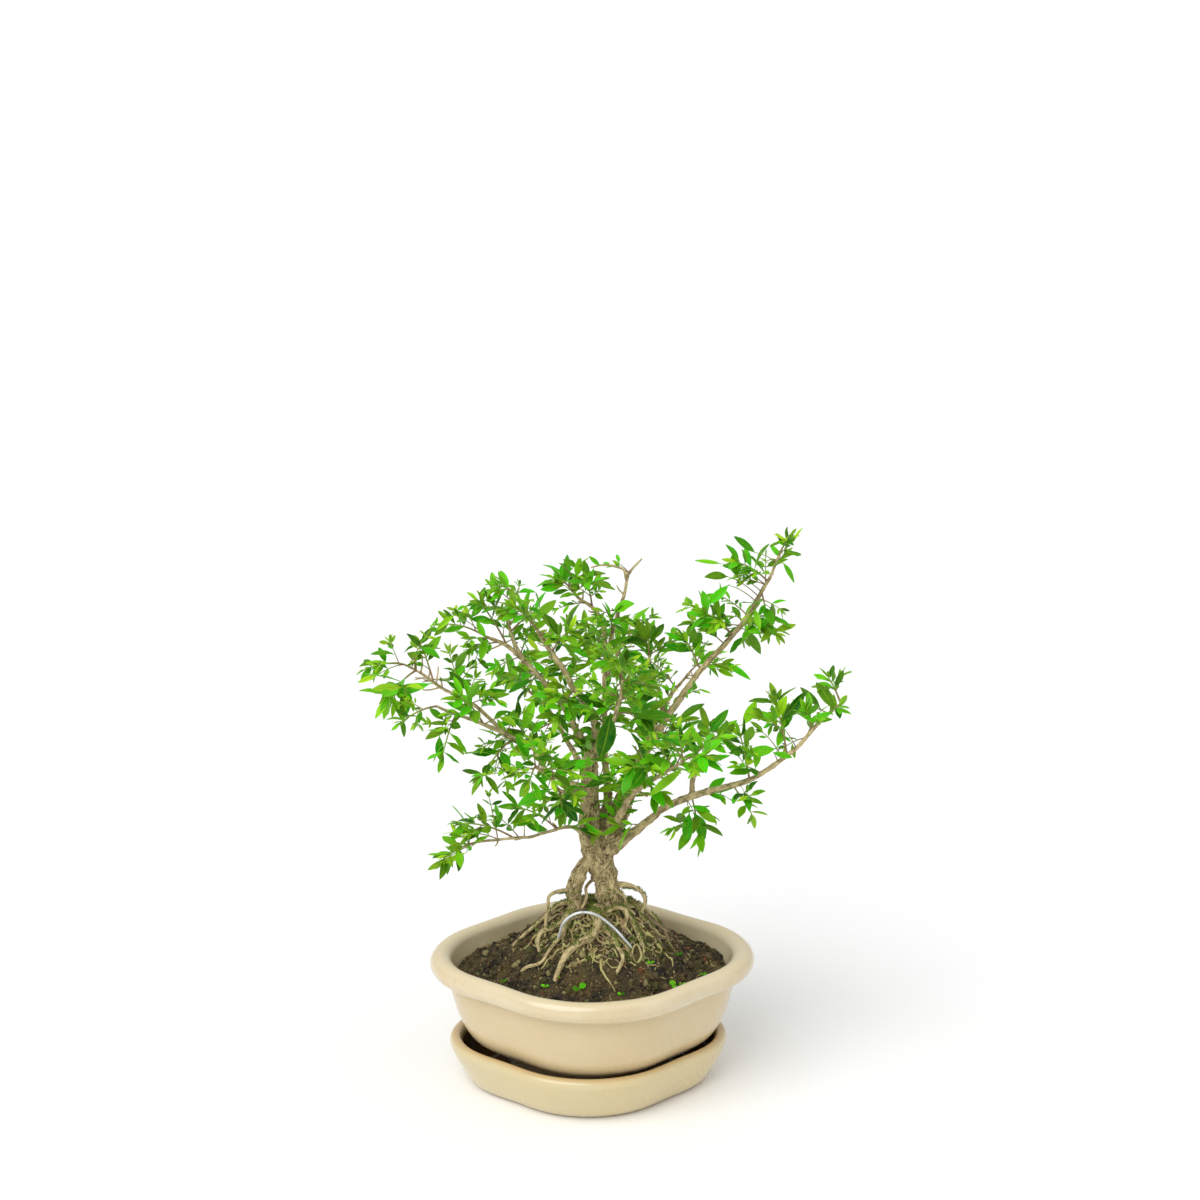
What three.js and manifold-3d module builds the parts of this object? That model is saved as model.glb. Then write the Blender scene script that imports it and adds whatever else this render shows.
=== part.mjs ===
// Serissa bonsai with an arched aerial root, in a lobed glazed pot on its drip tray.
// Millimetres, +Z up. The origin is the middle of the tray's underside and the front faces -Y.
import * as THREE from 'three';
import { mergeVertices } from 'three/addons/utils/BufferGeometryUtils.js';
import Module from 'manifold-3d';

const wasm = await Module();
wasm.setup();

// Driving dimensions
const CLEARANCE = 0.3; // air between neighbouring pieces
const RIM_HALF_LENGTH = 79; // centre line of the pot's rolled rim, left to right
const RIM_HALF_DEPTH = 66; // centre line of the rolled rim, front to back
const RIM_HEIGHT = 67; // height of that centre line over the table
const ROLL_HALF_WIDTH = 6;
const ROLL_HALF_HEIGHT = 5.6;
const POT_UNDERSIDE = 7;
const DEPTH_NARROWING = 0.85; // the body draws in this much less to the front and back
const FOOT_RADIUS = 6;
const DRAIN_RADIUS = 5;
const TRAY_HALF_LENGTH = 59.2; // flat base of the drip tray
const TRAY_HALF_DEPTH = 46.5;
const TRAY_SHIFT = -2; // the pot stands off the tray's middle
const TRAY_FLOOR = 4;
const SOIL_LEVEL = 61; // soil surface beside the pot wall
const MOUND_RISE = 37; // how far the soil climbs round the trunk
const MOUND_RADIUS = 41;
const MOUND_CENTRE_X = 3;
const WIRE_RADIUS = 0.75;
const LEAF_LENGTH = 16.5;
const LEAF_SLIMNESS = 0.36; // width over length
const BLADE_THICKNESS = 0.7;
const SHOOT_RADIUS = 0.75;
const PLAN_SIDES = 28; // facets round the pot and tray
const PLAN_ROUNDNESS = 1.75; // 2 would be a plain oval, less draws the lobes out
const PLAN_TURN = 0.21; // how far the plan's corners swing towards its long sides
const LOBE_DEPTH = 0.028;
const LOBE_SHARPNESS = 0.01;
const CLOD_HEIGHT = 0.8; // slow waves over the soil
const SMALL_CLOD_HEIGHT = 0.5; // quick waves over the soil
const SHOOT_ARCH = 0.16; // rise of a shoot's middle, as a share of its length
const SHOOT_BEND = 4; // sideways step of its middle from one trial to the next
const SHOOT_START = 0.04; // share of a shoot that is hidden in its limb
const LATEST_START = 0.24;
const START_STEP = 0.01;
const LEAF_LIFT = 0.12; // upward pull on a leaf's direction
const MOST_TRIES = 11; // positions tried for a leaf before it is left out

// The inside wall of the pot as [distance from the rim's centre line, height]
const INSIDE_WALL = [[-6, RIM_HEIGHT], [-9.5, 56], [-17, 34], [-27, 24.5], [-37, 16.5]];

// Trunk, limbs and twigs as [x, y, z, radius], each running from inside what it grows from
const LIMBS = {
  trunk: [[11, 0, 64.5, 9.5], [11, 0, 80.5, 6.8], [9, 0, 96.5, 5.9], [7, 0, 110.5, 5.6],
    [4, 0, 121.5, 6.8], [0, 1, 133, 5.8], [-1, 2, 154.5, 4.4], [-1, 2, 173, 3.9],
    [1, 1, 181.5, 3.2]],
  arch_root: [[-12, -8, 75.5, 4.5], [-10.5, -6, 88.5, 3.6], [-9, -5, 98, 3.6],
    [-9.5, -4, 109, 4.7], [-6, -3, 117.5, 3.9], [-2, -2, 121, 3.8], [3, 0, 123, 4.0]],
  leader: [[-1, 2, 171, 3.7], [2, 0, 190, 2.5], [-2, -4, 205.5, 2.3], [-9, -8, 217, 2.0],
    [-15.5, -10, 229, 1.7], [-24, -12, 242.5, 1.4], [-28, -14, 250, 1.0]],
  crown_stem: [[4, 6, 133, 4.0], [8.5, 10, 151.5, 2.6], [7.5, 14, 172, 1.8], [7, 16, 198, 1.7],
    [8.5, 16, 227.5, 1.5], [12.5, 14, 245.5, 1.2], [17, 12, 262, 1.0], [19, 10, 272.5, 0.8]],
  right_up: [[7, 0, 128, 6.0], [14.5, 3, 145, 5.0], [21.5, 8, 163.5, 2.7], [30, 10, 180.5, 2.3],
    [39.5, 12, 195.5, 2.1], [50, 12, 211, 1.8], [60.5, 12, 225, 1.7], [70, 10, 236.5, 1.6],
    [79.5, 8, 249.5, 1.3], [86, 6, 262.5, 1.2], [90.5, 4, 272.5, 0.9], [94, 2, 282.5, 0.7]],
  right_low: [[7, -2, 128, 5.0], [16.5, -5, 136, 3.2], [27, -10, 146, 2.3], [36, -14, 155.5, 2.1],
    [49.5, -18, 162.5, 2.0], [64, -20, 167.5, 1.8], [78.5, -20, 171.5, 1.6], [93, -18, 180, 1.4],
    [104.5, -16, 189, 1.2], [118.5, -14, 204, 1.0], [125, -12, 208.5, 0.8]],
  left_low: [[-2, -4, 133, 3.0], [-10, -10, 144, 1.2], [-18.5, -14, 144.5, 1.0],
    [-32.5, -20, 143, 0.9], [-46, -26, 144.5, 0.8], [-58.5, -30, 144.5, 0.7]],
  left_mid: [[-2, 0, 160.5, 2.7], [-12, -4, 166, 1.8], [-23.5, -8, 174, 1.5],
    [-31, -12, 188, 1.4], [-40, -15, 194, 1.3], [-48.5, -18, 199.5, 1.2], [-59, -20, 204.5, 1.0],
    [-68.5, -22, 209, 0.9], [-78, -24, 214, 0.8]],
  left_far: [[-44.5, -17, 197, 1.2], [-55, -12, 206.5, 1.1], [-65.5, -8, 213, 1.0],
    [-73.5, -5, 216, 0.9], [-80, -3, 220.5, 0.9], [-88.5, 0, 225.5, 0.7], [-94.5, 2, 228, 0.6]],
  left_high: [[-1, 5, 177.5, 2.6], [-11.5, 12, 197, 1.8], [-23.5, 18, 212, 1.6],
    [-32, 22, 221.5, 1.5], [-42.5, 26, 230, 1.3], [-54, 28, 235, 0.9]],
  left_peak: [[-34, 22, 223.5, 1.3], [-39.5, 24, 234, 1.0], [-41.5, 24, 246, 0.9],
    [-37.5, 22, 258.5, 0.7]],
  top_mid: [[7.5, 16, 225.5, 1.7], [6.5, 18, 241.5, 1.3], [1, 20, 252, 1.1], [-5, 22, 255.5, 0.9],
    [-10.5, 22, 262, 0.7]],
  front_up: [[1, -1, 182.5, 2.4], [4.5, -16, 194, 1.6], [8.5, -34, 207.5, 1.3],
    [11, -50, 223.5, 1.0], [12, -60, 237.5, 0.7]],
  front_left: [[-1, 0, 154.5, 2.6], [-9, -18, 164, 1.6], [-17.5, -36, 173, 1.3],
    [-23.5, -52, 186.5, 1.0], [-30, -64, 196, 0.7]],
  front_right: [[11.5, -3, 141, 3.0], [17.5, -20, 161.5, 1.8], [24, -38, 176, 1.4],
    [33.5, -54, 188.5, 1.1], [41, -66, 198, 0.7]],
  back_left: [[-1, 4, 164, 2.6], [-9, 22, 174, 1.7], [-17.5, 40, 184.5, 1.4],
    [-25.5, 56, 191.5, 1.1], [-35, 70, 195, 0.7]],
  back_right: [[9.5, 8, 141, 3.0], [19.5, 26, 158.5, 1.8], [32, 42, 175, 1.5],
    [43, 56, 190.5, 1.2], [55.5, 68, 202, 0.7]],
  back_top: [[6.5, 16, 197, 1.9], [9.5, 34, 206.5, 1.4], [15.5, 50, 218, 1.1],
    [24, 62, 227.5, 0.7]],
  right_mid: [[37.5, 12, 194, 1.8], [35.5, 14, 206.5, 1.1], [31, 16, 218, 0.9],
    [30, 18, 226.5, 0.7]],
  right_fill: [[49.5, -18, 162.5, 1.7], [50.5, -14, 170, 1.4], [56, -8, 176, 1.1],
    [58, -2, 184.5, 0.9]],
  bare_tip_left: [[18, 11, 268.5, 1.0], [16, 9, 274.5, 0.7], [10.5, 9, 276.5, 0.6],
    [5.5, 10, 276.5, 0.6], [0, 11, 275, 0.5]],
  bare_tip_right: [[18, 11, 270, 0.8], [22, 10, 275.5, 0.7], [25.5, 10, 279.5, 0.5]],
};

// Surface roots in the same form, each ending under the soil
const ROOTS = {
  front_root: [[3, -5, 96.5, 3.4], [0, -14, 98.5, 2.8], [1, -20, 98.5, 2.4], [1, -23, 94.5, 2.2],
    [-1, -26, 90.5, 2.1], [-7, -28, 88.5, 1.9], [-13, -31, 84.5, 1.8], [-17, -34, 79.5, 1.6],
    [-20, -36.5, 72.5, 1.3], [-21, -37.5, 64, 1.2]],
  ring_root: [[9, -3, 94.5, 1.8], [6, -11, 96.5, 1.3], [8, -14, 99.5, 1.2],
    [12.5, -15, 101.5, 1.1], [16.5, -15, 99.5, 1.1], [16.5, -17, 94.5, 1.0],
    [12, -19, 85.5, 0.9]],
  thin_left_arch: [[-9, -5, 106.5, 1.4], [-18, -8, 108.5, 1.0], [-22.5, -9, 105.5, 0.9],
    [-23.5, -10, 99.5, 0.8], [-24.5, -11, 92.5, 0.8], [-25, -12, 79.5, 0.8]],
  right_arch: [[9, -1, 108.5, 2.0], [19.5, -3, 108.5, 1.2], [25.5, -3, 104.5, 1.1],
    [27.5, -3, 100.5, 1.1], [25.5, -4, 94.5, 1.0], [26.5, -5, 83.5, 0.9]],
  right_prop: [[11, -3, 107.5, 1.5], [16.5, -6, 103.5, 0.9], [17.5, -7, 98.5, 0.8],
    [21.5, -7, 94.5, 0.8], [23.5, -7, 85.5, 0.7]],
  hole_root: [[6, 2, 109.5, 1.2], [0, 1, 110.5, 0.9], [-3, -1, 107.5, 0.8], [-3, -4, 103.5, 0.8],
    [-7, -8, 96.5, 0.8], [-9, -10, 87.5, 0.8]],
  right_strand: [[12, -3, 96.5, 2.0], [16.5, -9, 97.5, 1.6], [19.5, -14, 94.5, 1.5],
    [22.5, -19, 89.5, 1.4], [24.5, -23, 84.5, 1.2], [25.5, -26, 75.5, 1.0]],
  mossy_root: [[7, -5, 96.5, 1.6], [5, -14, 95.5, 1.5], [5, -21, 93.5, 1.4], [9, -25, 90.5, 1.3],
    [14.5, -27, 87.5, 1.2], [18.5, -28, 78.5, 1.0]],
  left_spread: [[-9, -7, 97.5, 1.8], [-14, -11, 94.5, 1.5], [-20, -13, 90.5, 1.3],
    [-26.5, -12, 87.5, 1.2], [-28.5, -14, 83.5, 1.1], [-26, -18, 73.5, 1.0]],
  far_strand: [[11, 4, 97.5, 1.8], [22.5, 7, 95.5, 1.2], [30.5, 5, 89.5, 1.1],
    [35.5, 4, 83.5, 1.0], [41.5, 6, 69.5, 0.8]],
  left_slope: [[-8, -2, 99.5, 1.8], [-16, 2, 97.5, 1.3], [-23, 3, 90.5, 1.2],
    [-31.5, 2, 83.5, 1.0], [-38.5, 4, 76.5, 0.9], [-45.5, 8, 62.5, 0.8]],
  back_left_root: [[5, 3, 96.5, 2.4], [-2, 14, 95.5, 1.7], [-7, 22, 90.5, 1.4],
    [-10, 30, 83.5, 1.2], [-12, 38, 71.5, 1.0]],
  back_root: [[9, 3, 96.5, 2.6], [12, 14, 95.5, 1.9], [13, 23, 90.5, 1.6], [17, 31, 84, 1.3],
    [20, 38, 71, 1.0]],
  back_right_root: [[10, 2, 97.5, 2.0], [19.5, 12, 94.5, 1.5], [25.5, 20, 88.5, 1.2],
    [30.5, 27, 81.5, 1.1], [34.5, 32, 70, 0.9]],
};

// Route of the loose tie wire over the front roots, both ends in the soil
const WIRE_ROUTE = [[-19.5, -18, 77], [-19, -19.5, 84], [-17.5, -22.5, 91.5],
  [-15.5, -25.5, 98.5], [-12, -27, 102.5], [-7.5, -27.5, 104.5], [-2.5, -28, 104.5],
  [2.5, -28.5, 102.5], [7, -29, 99], [11, -29, 95], [14.5, -28.5, 90.5], [18, -27, 85.5],
  [19.5, -25, 82], [20.5, -24.5, 77]];

// Leafy sprays as [limb, how many of its points along, tip, leaf size]
const SPRAYS = [
  ['left_far', 6, [-112, 4, 226], 0.85],
  ['left_far', 5, [-102, -12, 215], 1.3],
  ['left_far', 4, [-87, 12, 236], 0.8],
  ['left_mid', 8, [-95, -30, 208], 0.7],
  ['left_mid', 7, [-75, -36, 193], 0.9],
  ['left_mid', 5.6, [-66, -30, 220], 1.0],
  ['left_mid', 4, [-56, -28, 178], 1.0],
  ['left_mid', 3, [-39, -2, 198], 1.0],
  ['left_high', 5, [-74, 34, 240], 0.9],
  ['left_high', 4, [-57, 32, 252], 0.8],
  ['left_high', 2.4, [-32, 34, 205], 1.0],
  ['left_peak', 3, [-47, 24, 263], 0.75],
  ['left_peak', 1.4, [-25, 14, 252], 0.9],
  ['top_mid', 4, [-15, 26, 265], 0.9],
  ['top_mid', 2, [-2, 12, 268], 0.9],
  ['crown_stem', 4.6, [10, 6, 250], 0.9],
  ['crown_stem', 3.2, [25, 24, 216], 1.1],
  ['leader', 6, [-39, -18, 262], 0.9],
  ['leader', 4.6, [-12, -22, 251], 1.1],
  ['leader', 3, [-18, -20, 206], 1.0],
  ['leader', 1.4, [17, -14, 212], 1.1],
  ['front_up', 4, [8, -74, 251], 0.9],
  ['front_up', 2.4, [26, -40, 212], 1.2],
  ['front_left', 4, [-33, -70, 190], 0.9],
  ['front_left', 2, [-17, -46, 167], 1.0],
  ['front_right', 4, [51, -76, 204], 1.0],
  ['front_right', 2.8, [17, -62, 194], 1.2],
  ['front_right', 2, [31, -46, 175], 1.1],
  ['left_low', 5, [-76, -34, 137], 1.0],
  ['left_low', 3.6, [-66, -26, 153], 0.95],
  ['left_low', 2, [-39, -26, 161], 1.0],
  ['right_mid', 3, [30, 20, 235], 0.95],
  ['right_up', 5.6, [48, 14, 236], 0.95],
  ['right_up', 7.2, [58, 4, 252], 1.0],
  ['right_up', 8, [80, 26, 233], 1.0],
  ['right_up', 9, [89, 0, 246], 1.0],
  ['right_up', 9.6, [73, 2, 279], 0.9],
  ['right_up', 11, [99, 2, 292], 0.55],
  ['right_low', 4, [53, -24, 144], 1.1],
  ['right_low', 6, [73, -24, 196], 1.05],
  ['right_low', 7.4, [92, -12, 210], 1.2],
  ['right_low', 8.4, [107, -16, 206], 0.8],
  ['right_low', 10, [119, -8, 221], 0.75],
  ['right_fill', 3, [61, 8, 190], 1.0],
  ['back_left', 4, [-39, 84, 198], 1.0],
  ['back_left', 2, [-36, 38, 173], 1.0],
  ['back_right', 4, [66, 82, 204], 1.0],
  ['back_right', 2, [53, 36, 177], 1.0],
  ['back_top', 3, [18, 70, 223], 0.95],
  ['back_top', 1.4, [-8, 44, 217], 1.0],
];

// Leaf pairs along a shoot, as shares of its length, and how a leaf stands on its face
const LEAF_NODES = [0.32, 0.54, 0.76, 0.95];
const NODE_HALF_LENGTH = 0.7;
const LEAF_PLACES = [
  { ring: 3, face: 0, spread: 56, size: 1.05 },
  { ring: 3, face: 2, spread: 60, size: 1.1 },
  { ring: 5, face: 3, spread: 52, size: 1.05 },
  { ring: 5, face: 1, spread: 54, size: 1 },
  { ring: 7, face: 0, spread: 58, size: 0.85 },
  { ring: 7, face: 2, spread: 56, size: 0.9 },
  { ring: 8, face: 0, spread: 6, size: 0.7 },
];
const UP = new THREE.Vector3(0, 0, 1);

// A repeatable draw between 0 and 1 for a whole number
function roll(number) {
  const value = Math.sin(number * 12.9898) * 43758.5453;
  return value - Math.floor(value);
}

// One point of the four-lobed oval plan shared by pot, soil and tray
function planPoint(halfLength, halfDepth, angle) {
  const turned = angle - PLAN_TURN * Math.sin(2 * angle);
  const across = Math.abs(Math.cos(turned));
  const along = Math.abs(Math.sin(turned));
  const reach = (across ** PLAN_ROUNDNESS + along ** PLAN_ROUNDNESS) ** (-1 / PLAN_ROUNDNESS);
  const lobe = 1 + LOBE_DEPTH * Math.cos(4 * turned) - LOBE_SHARPNESS * Math.cos(8 * turned);
  const radius = (reach * lobe) / (1 + LOBE_DEPTH - LOBE_SHARPNESS);
  return [halfLength * radius * Math.cos(turned), halfDepth * radius * Math.sin(turned)];
}

// A closed skin over rings of points, with a fan over its first and last ring
function skin(rings) {
  const sides = rings[0].length;
  const points = rings.flat();
  const middle = (ring) => ring.reduce((sum, point) => sum.add(point), new THREE.Vector3())
    .divideScalar(sides);
  points.push(middle(rings[0]), middle(rings[rings.length - 1]));
  const firstMiddle = points.length - 2;
  const lastMiddle = points.length - 1;
  const lastRing = (rings.length - 1) * sides;
  const index = [];
  for (let side = 0; side < sides; side += 1) {
    const next = (side + 1) % sides;
    index.push(firstMiddle, next, side, lastMiddle, lastRing + side, lastRing + next);
    for (let level = 0; level < rings.length - 1; level += 1) {
      const low = level * sides;
      const high = low + sides;
      index.push(low + side, low + next, high + next, low + side, high + next, high + side);
    }
  }
  const geometry = new THREE.BufferGeometry().setFromPoints(points);
  geometry.setIndex(index);
  return geometry;
}

// Rings of the lobed plan, one for each [half length, half depth, height]
function lobedSkin(levels) {
  return skin(levels.map(([halfLength, halfDepth, height]) => {
    const ring = [];
    for (let side = 0; side < PLAN_SIDES; side += 1) {
      const [x, y] = planPoint(halfLength, halfDepth, (side / PLAN_SIDES) * 2 * Math.PI);
      ring.push(new THREE.Vector3(x, y, height));
    }
    return ring;
  }));
}

// A limb with a radius at each point. Growing it fattens it and lengthens both ends.
function limbSkin(points, sides, grow = 0) {
  const centres = points.map(([x, y, z]) => new THREE.Vector3(x, y, z));
  const last = centres.length - 1;
  const heading = (index) => centres[Math.min(index + 1, last)].clone()
    .sub(centres[Math.max(index - 1, 0)]).normalize();
  const side = new THREE.Vector3(0.31, 0.93, 0.2);
  const rings = centres.map((centre, index) => {
    const along = heading(index);
    side.addScaledVector(along, -side.dot(along)).normalize();
    const across = along.clone().cross(side);
    const middle = centre.clone();
    if (index === 0) middle.addScaledVector(along, -grow);
    if (index === last) middle.addScaledVector(along, grow);
    const radius = points[index][3] + grow;
    return Array.from({ length: sides }, (_, step) => {
      const turn = (step / sides) * 2 * Math.PI;
      return middle.clone().addScaledVector(side, radius * Math.cos(turn))
        .addScaledVector(across, radius * Math.sin(turn));
    });
  });
  return skin(rings);
}

// Geometry to solid and back, for joining and cutting
function solidOf(geometry) {
  const bare = geometry.clone();
  bare.deleteAttribute('normal');
  bare.deleteAttribute('uv');
  const merged = mergeVertices(bare, 1e-4);
  return new wasm.Manifold(new wasm.Mesh({
    numProp: 3,
    vertProperties: new Float32Array(merged.attributes.position.array),
    triVerts: new Uint32Array(merged.index.array),
  }));
}

function geometryOf(solid) {
  const mesh = solid.getMesh();
  const geometry = new THREE.BufferGeometry();
  geometry.setAttribute('position', new THREE.BufferAttribute(mesh.vertProperties, 3));
  geometry.setIndex(new THREE.BufferAttribute(mesh.triVerts, 1));
  geometry.computeVertexNormals();
  return geometry;
}

function joined(solids) {
  return solids.reduce((whole, solid) => whole.add(solid));
}

function largestBody(solid) {
  const larger = (best, body) => (body.volume() > best.volume() ? body : best);
  return solid.decompose().reduce(larger);
}

// The drip tray: flat base, flared wall and a small rolled lip
function trayGeometry() {
  const profile = [
    [0, 0], [3.5, 2.5], [9, 11], [13.6, 20.5], [13.4, 24.8], [11.2, 26.4], [8.2, 26],
    [6.4, 20.5], [3, 11], [-3, TRAY_FLOOR],
  ];
  return lobedSkin(profile.map(([out, height]) => [
    TRAY_HALF_LENGTH + out, TRAY_HALF_DEPTH + out, height,
  ])).translate(TRAY_SHIFT, 0, 0);
}

// The pot: rounded belly, crease, rolled rim, open inside, four feet and two drain holes
function potGeometry() {
  const belly = [
    [-36, POT_UNDERSIDE], [-35, 11], [-32, 15.5], [-27, 19.5], [-20.5, 23.5], [-15.5, 27],
    [-12, 31.5], [-9, 38], [-6.2, 47], [-3.8, 61],
  ];
  const rollAngles = [-70, -25, 20, 60, 95, 135];
  const rolledRim = rollAngles.map((degrees) => {
    const angle = THREE.MathUtils.degToRad(degrees);
    return [ROLL_HALF_WIDTH * Math.cos(angle), RIM_HEIGHT + ROLL_HALF_HEIGHT * Math.sin(angle)];
  });
  const profile = [...belly, ...rolledRim, ...INSIDE_WALL];
  let pot = solidOf(lobedSkin(profile.map(([out, height]) => [
    RIM_HALF_LENGTH + out, RIM_HALF_DEPTH + DEPTH_NARROWING * out, height,
  ])));
  const footHeight = POT_UNDERSIDE + 1.5 - TRAY_FLOOR - CLEARANCE;
  for (const [x, y] of [[-22, -14], [22, -14], [-22, 14], [22, 14]]) {
    const foot = new THREE.CylinderGeometry(FOOT_RADIUS, FOOT_RADIUS - 1, footHeight, 8);
    foot.rotateX(Math.PI / 2);
    foot.translate(x, y, TRAY_FLOOR + CLEARANCE + footHeight / 2);
    pot = pot.add(solidOf(foot));
  }
  for (const x of [-14, 14]) {
    const drain = new THREE.CylinderGeometry(DRAIN_RADIUS, DRAIN_RADIUS, 20, 8);
    drain.rotateX(Math.PI / 2);
    drain.translate(x, 0, 10);
    pot = pot.subtract(solidOf(drain));
  }
  return geometryOf(pot);
}

// Height of the soil: level by the wall, steep round the trunk, with clods all over
function soilHeight(x, y) {
  const fromTrunk = Math.hypot(x - MOUND_CENTRE_X, y) / MOUND_RADIUS;
  const clods = CLOD_HEIGHT * Math.sin(0.31 * x + 1.3) * Math.cos(0.27 * y - 0.4)
    + SMALL_CLOD_HEIGHT * Math.sin(0.83 * x + 0.61 * y);
  return SOIL_LEVEL + MOUND_RISE * Math.exp(-(fromTrunk ** 2.6)) + clods;
}

// The soil: it fills the pot, a hair inside its wall, and rises to the trunk
function soilSolid() {
  const sunk = CLEARANCE + 0.05;
  const [[mouthOut, mouthHeight], [shoulderOut, shoulderHeight]] = INSIDE_WALL;
  const depth = (mouthHeight - SOIL_LEVEL + 1) / (mouthHeight - shoulderHeight);
  const rimOut = mouthOut + (shoulderOut - mouthOut) * depth;
  const wall = INSIDE_WALL.slice(1).reverse().map(([out, height]) => [out - sunk, height]);
  wall[0][1] += CLEARANCE;
  const levels = [...wall, [rimOut - sunk, SOIL_LEVEL - 1]];
  const ringAt = (out, share, heightAt) => Array.from({ length: PLAN_SIDES }, (_, side) => {
    const angle = (side / PLAN_SIDES) * 2 * Math.PI;
    const halfDepth = RIM_HALF_DEPTH + DEPTH_NARROWING * out;
    const [x, y] = planPoint(RIM_HALF_LENGTH + out, halfDepth, angle);
    return new THREE.Vector3(x * share, y * share, heightAt(x * share, y * share));
  });
  const rings = levels.map(([out, height]) => ringAt(out, 1, () => height));
  for (const share of [0.88, 0.73, 0.59, 0.45, 0.3, 0.14]) {
    rings.push(ringAt(rimOut - sunk, share, soilHeight));
  }
  return solidOf(skin(rings));
}

// The loose tie wire, an even round section swept along its route
function wireGeometry(grow = 0) {
  const path = new THREE.CatmullRomCurve3(WIRE_ROUTE.map((point) => new THREE.Vector3(...point)));
  const section = new THREE.Shape();
  section.absarc(0, 0, WIRE_RADIUS + grow, 0, 2 * Math.PI);
  const settings = { steps: 14, curveSegments: 4, bevelEnabled: false, extrudePath: path };
  return new THREE.ExtrudeGeometry(section, settings);
}

// All the wood in one body: thick limbs get more sides than twigs
function woodSolid(grow = 0) {
  const sidesFor = (points) => {
    const thickest = Math.max(...points.map((point) => point[3]));
    if (thickest > 4.5) return 8;
    return thickest > 2.2 ? 6 : 4;
  };
  const limbs = [...Object.values(LIMBS), ...Object.values(ROOTS)];
  const bodies = limbs.map((points) => solidOf(limbSkin(points, sidesFor(points), grow)));
  return joined(bodies);
}

// The place on a limb that lies so many of its points along
function pointOn(limb, at) {
  const points = LIMBS[limb];
  const first = Math.min(Math.floor(at), points.length - 2);
  const from = new THREE.Vector3(...points[first]);
  const to = new THREE.Vector3(...points[first + 1]);
  return from.lerp(to, at - first);
}

// The gently arched line of a spray's shoot, from inside its limb to its tip
function shootCurve([limb, at, tipPoint], bend) {
  const base = pointOn(limb, at);
  const tip = new THREE.Vector3(...tipPoint);
  const middle = base.clone().lerp(tip, 0.5);
  const level = tip.clone().sub(base).cross(UP).normalize();
  middle.z += base.distanceTo(tip) * SHOOT_ARCH;
  middle.addScaledVector(level, bend * SHOOT_BEND);
  return new THREE.QuadraticBezierCurve3(base, middle, tip);
}

// The four corners of a shoot's square section, turning counter-clockwise round its heading
function shootRing(curve, share, twist, radius) {
  const centre = curve.getPoint(share);
  const heading = curve.getTangent(share);
  const level = curve.v2.clone().sub(curve.v0).normalize().cross(UP);
  if (level.length() < 0.4) level.set(1, 0.4, 0);
  level.addScaledVector(heading, -level.dot(heading)).normalize();
  level.applyAxisAngle(heading, twist);
  const across = heading.clone().cross(level);
  return [45, 135, 225, 315].map((degrees) => {
    const turn = THREE.MathUtils.degToRad(degrees);
    return centre.clone().addScaledVector(level, radius * Math.cos(turn))
      .addScaledVector(across, radius * Math.sin(turn));
  });
}

// The shoot of a spray as its rings: a pair of rings close together at each leaf pair
function shootRings(spray, seed, bend, start) {
  const curve = shootCurve(spray, bend);
  const half = NODE_HALF_LENGTH / curve.getLength();
  const twist = THREE.MathUtils.degToRad(20 + 40 * roll(seed));
  const nodes = LEAF_NODES.map((share) => Math.min(share, 0.995 - half));
  const shares = [start, ...nodes.flatMap((share) => [share - half, share + half])];
  const radiusAt = (number) => SHOOT_RADIUS * (1.15 - 0.05 * number);
  return shares.map((share, number) => shootRing(curve, share, twist, radiusAt(number)));
}

// The sections of one leaf beyond its base: two of four corners and the pointed tip of two
function leafSections(leaf, grow = 0) {
  const across = leaf.facing.clone().cross(leaf.direction).normalize();
  const normal = leaf.direction.clone().cross(across);
  const half = BLADE_THICKNESS / 2 + grow;
  const halfWidth = leaf.length * LEAF_SLIMNESS * 0.5;
  const place = (share, side, lift) => leaf.base.clone()
    .addScaledVector(leaf.direction, share * leaf.length + (share === 1 ? grow : 0))
    .addScaledVector(across, side)
    .addScaledVector(normal, lift - leaf.droop * share * share * leaf.length);
  const corners = [[1, 1], [-1, 1], [-1, -1], [1, -1]];
  const [low, high] = [[0.34, 0.9], [0.68, 0.84]].map(([share, width]) => corners.map(
    ([side, lift]) => place(share, side * (width * halfWidth + grow), lift * half)));
  return [low, high, [place(1, 0, half), place(1, 0, -half)]];
}

// Triangles of one leaf grown out of the four corners of a face, whose numbers are given
function growLeaf(points, index, face, leaf, grow = 0) {
  const [low, high, tip] = leafSections(leaf, grow);
  const turns = [0, 1, 2, 3];
  const distance = (turn) => face.reduce((sum, corner, number) => (
    sum + points[corner].distanceToSquared(low[(number + turn) % 4])), 0);
  const best = turns.reduce((least, turn) => (distance(turn) < distance(least) ? turn : least));
  const order = turns.map((number) => (number + best) % 4);
  const first = points.length;
  points.push(...low, ...high, ...tip);
  for (let side = 0; side < 4; side += 1) {
    const next = (side + 1) % 4;
    const from = first + order[side];
    const to = first + order[next];
    const lowSide = first + side;
    const lowNext = first + next;
    index.push(face[side], face[next], to, face[side], to, from);
    index.push(lowSide, lowNext, lowNext + 4, lowSide, lowNext + 4, lowSide + 4);
  }
  const [nearTop, farTop, farLow, nearLow, upper, lower] = [4, 5, 6, 7, 8, 9].map((number) => (
    first + number));
  index.push(nearTop, farTop, upper);
  index.push(farLow, nearLow, lower);
  index.push(farTop, farLow, lower, farTop, lower, upper);
  index.push(nearLow, nearTop, upper, nearLow, upper, lower);
}

function geometryFrom(points, index) {
  const geometry = new THREE.BufferGeometry().setFromPoints(points);
  geometry.setIndex(index);
  geometry.computeVertexNormals();
  return geometry;
}

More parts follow.
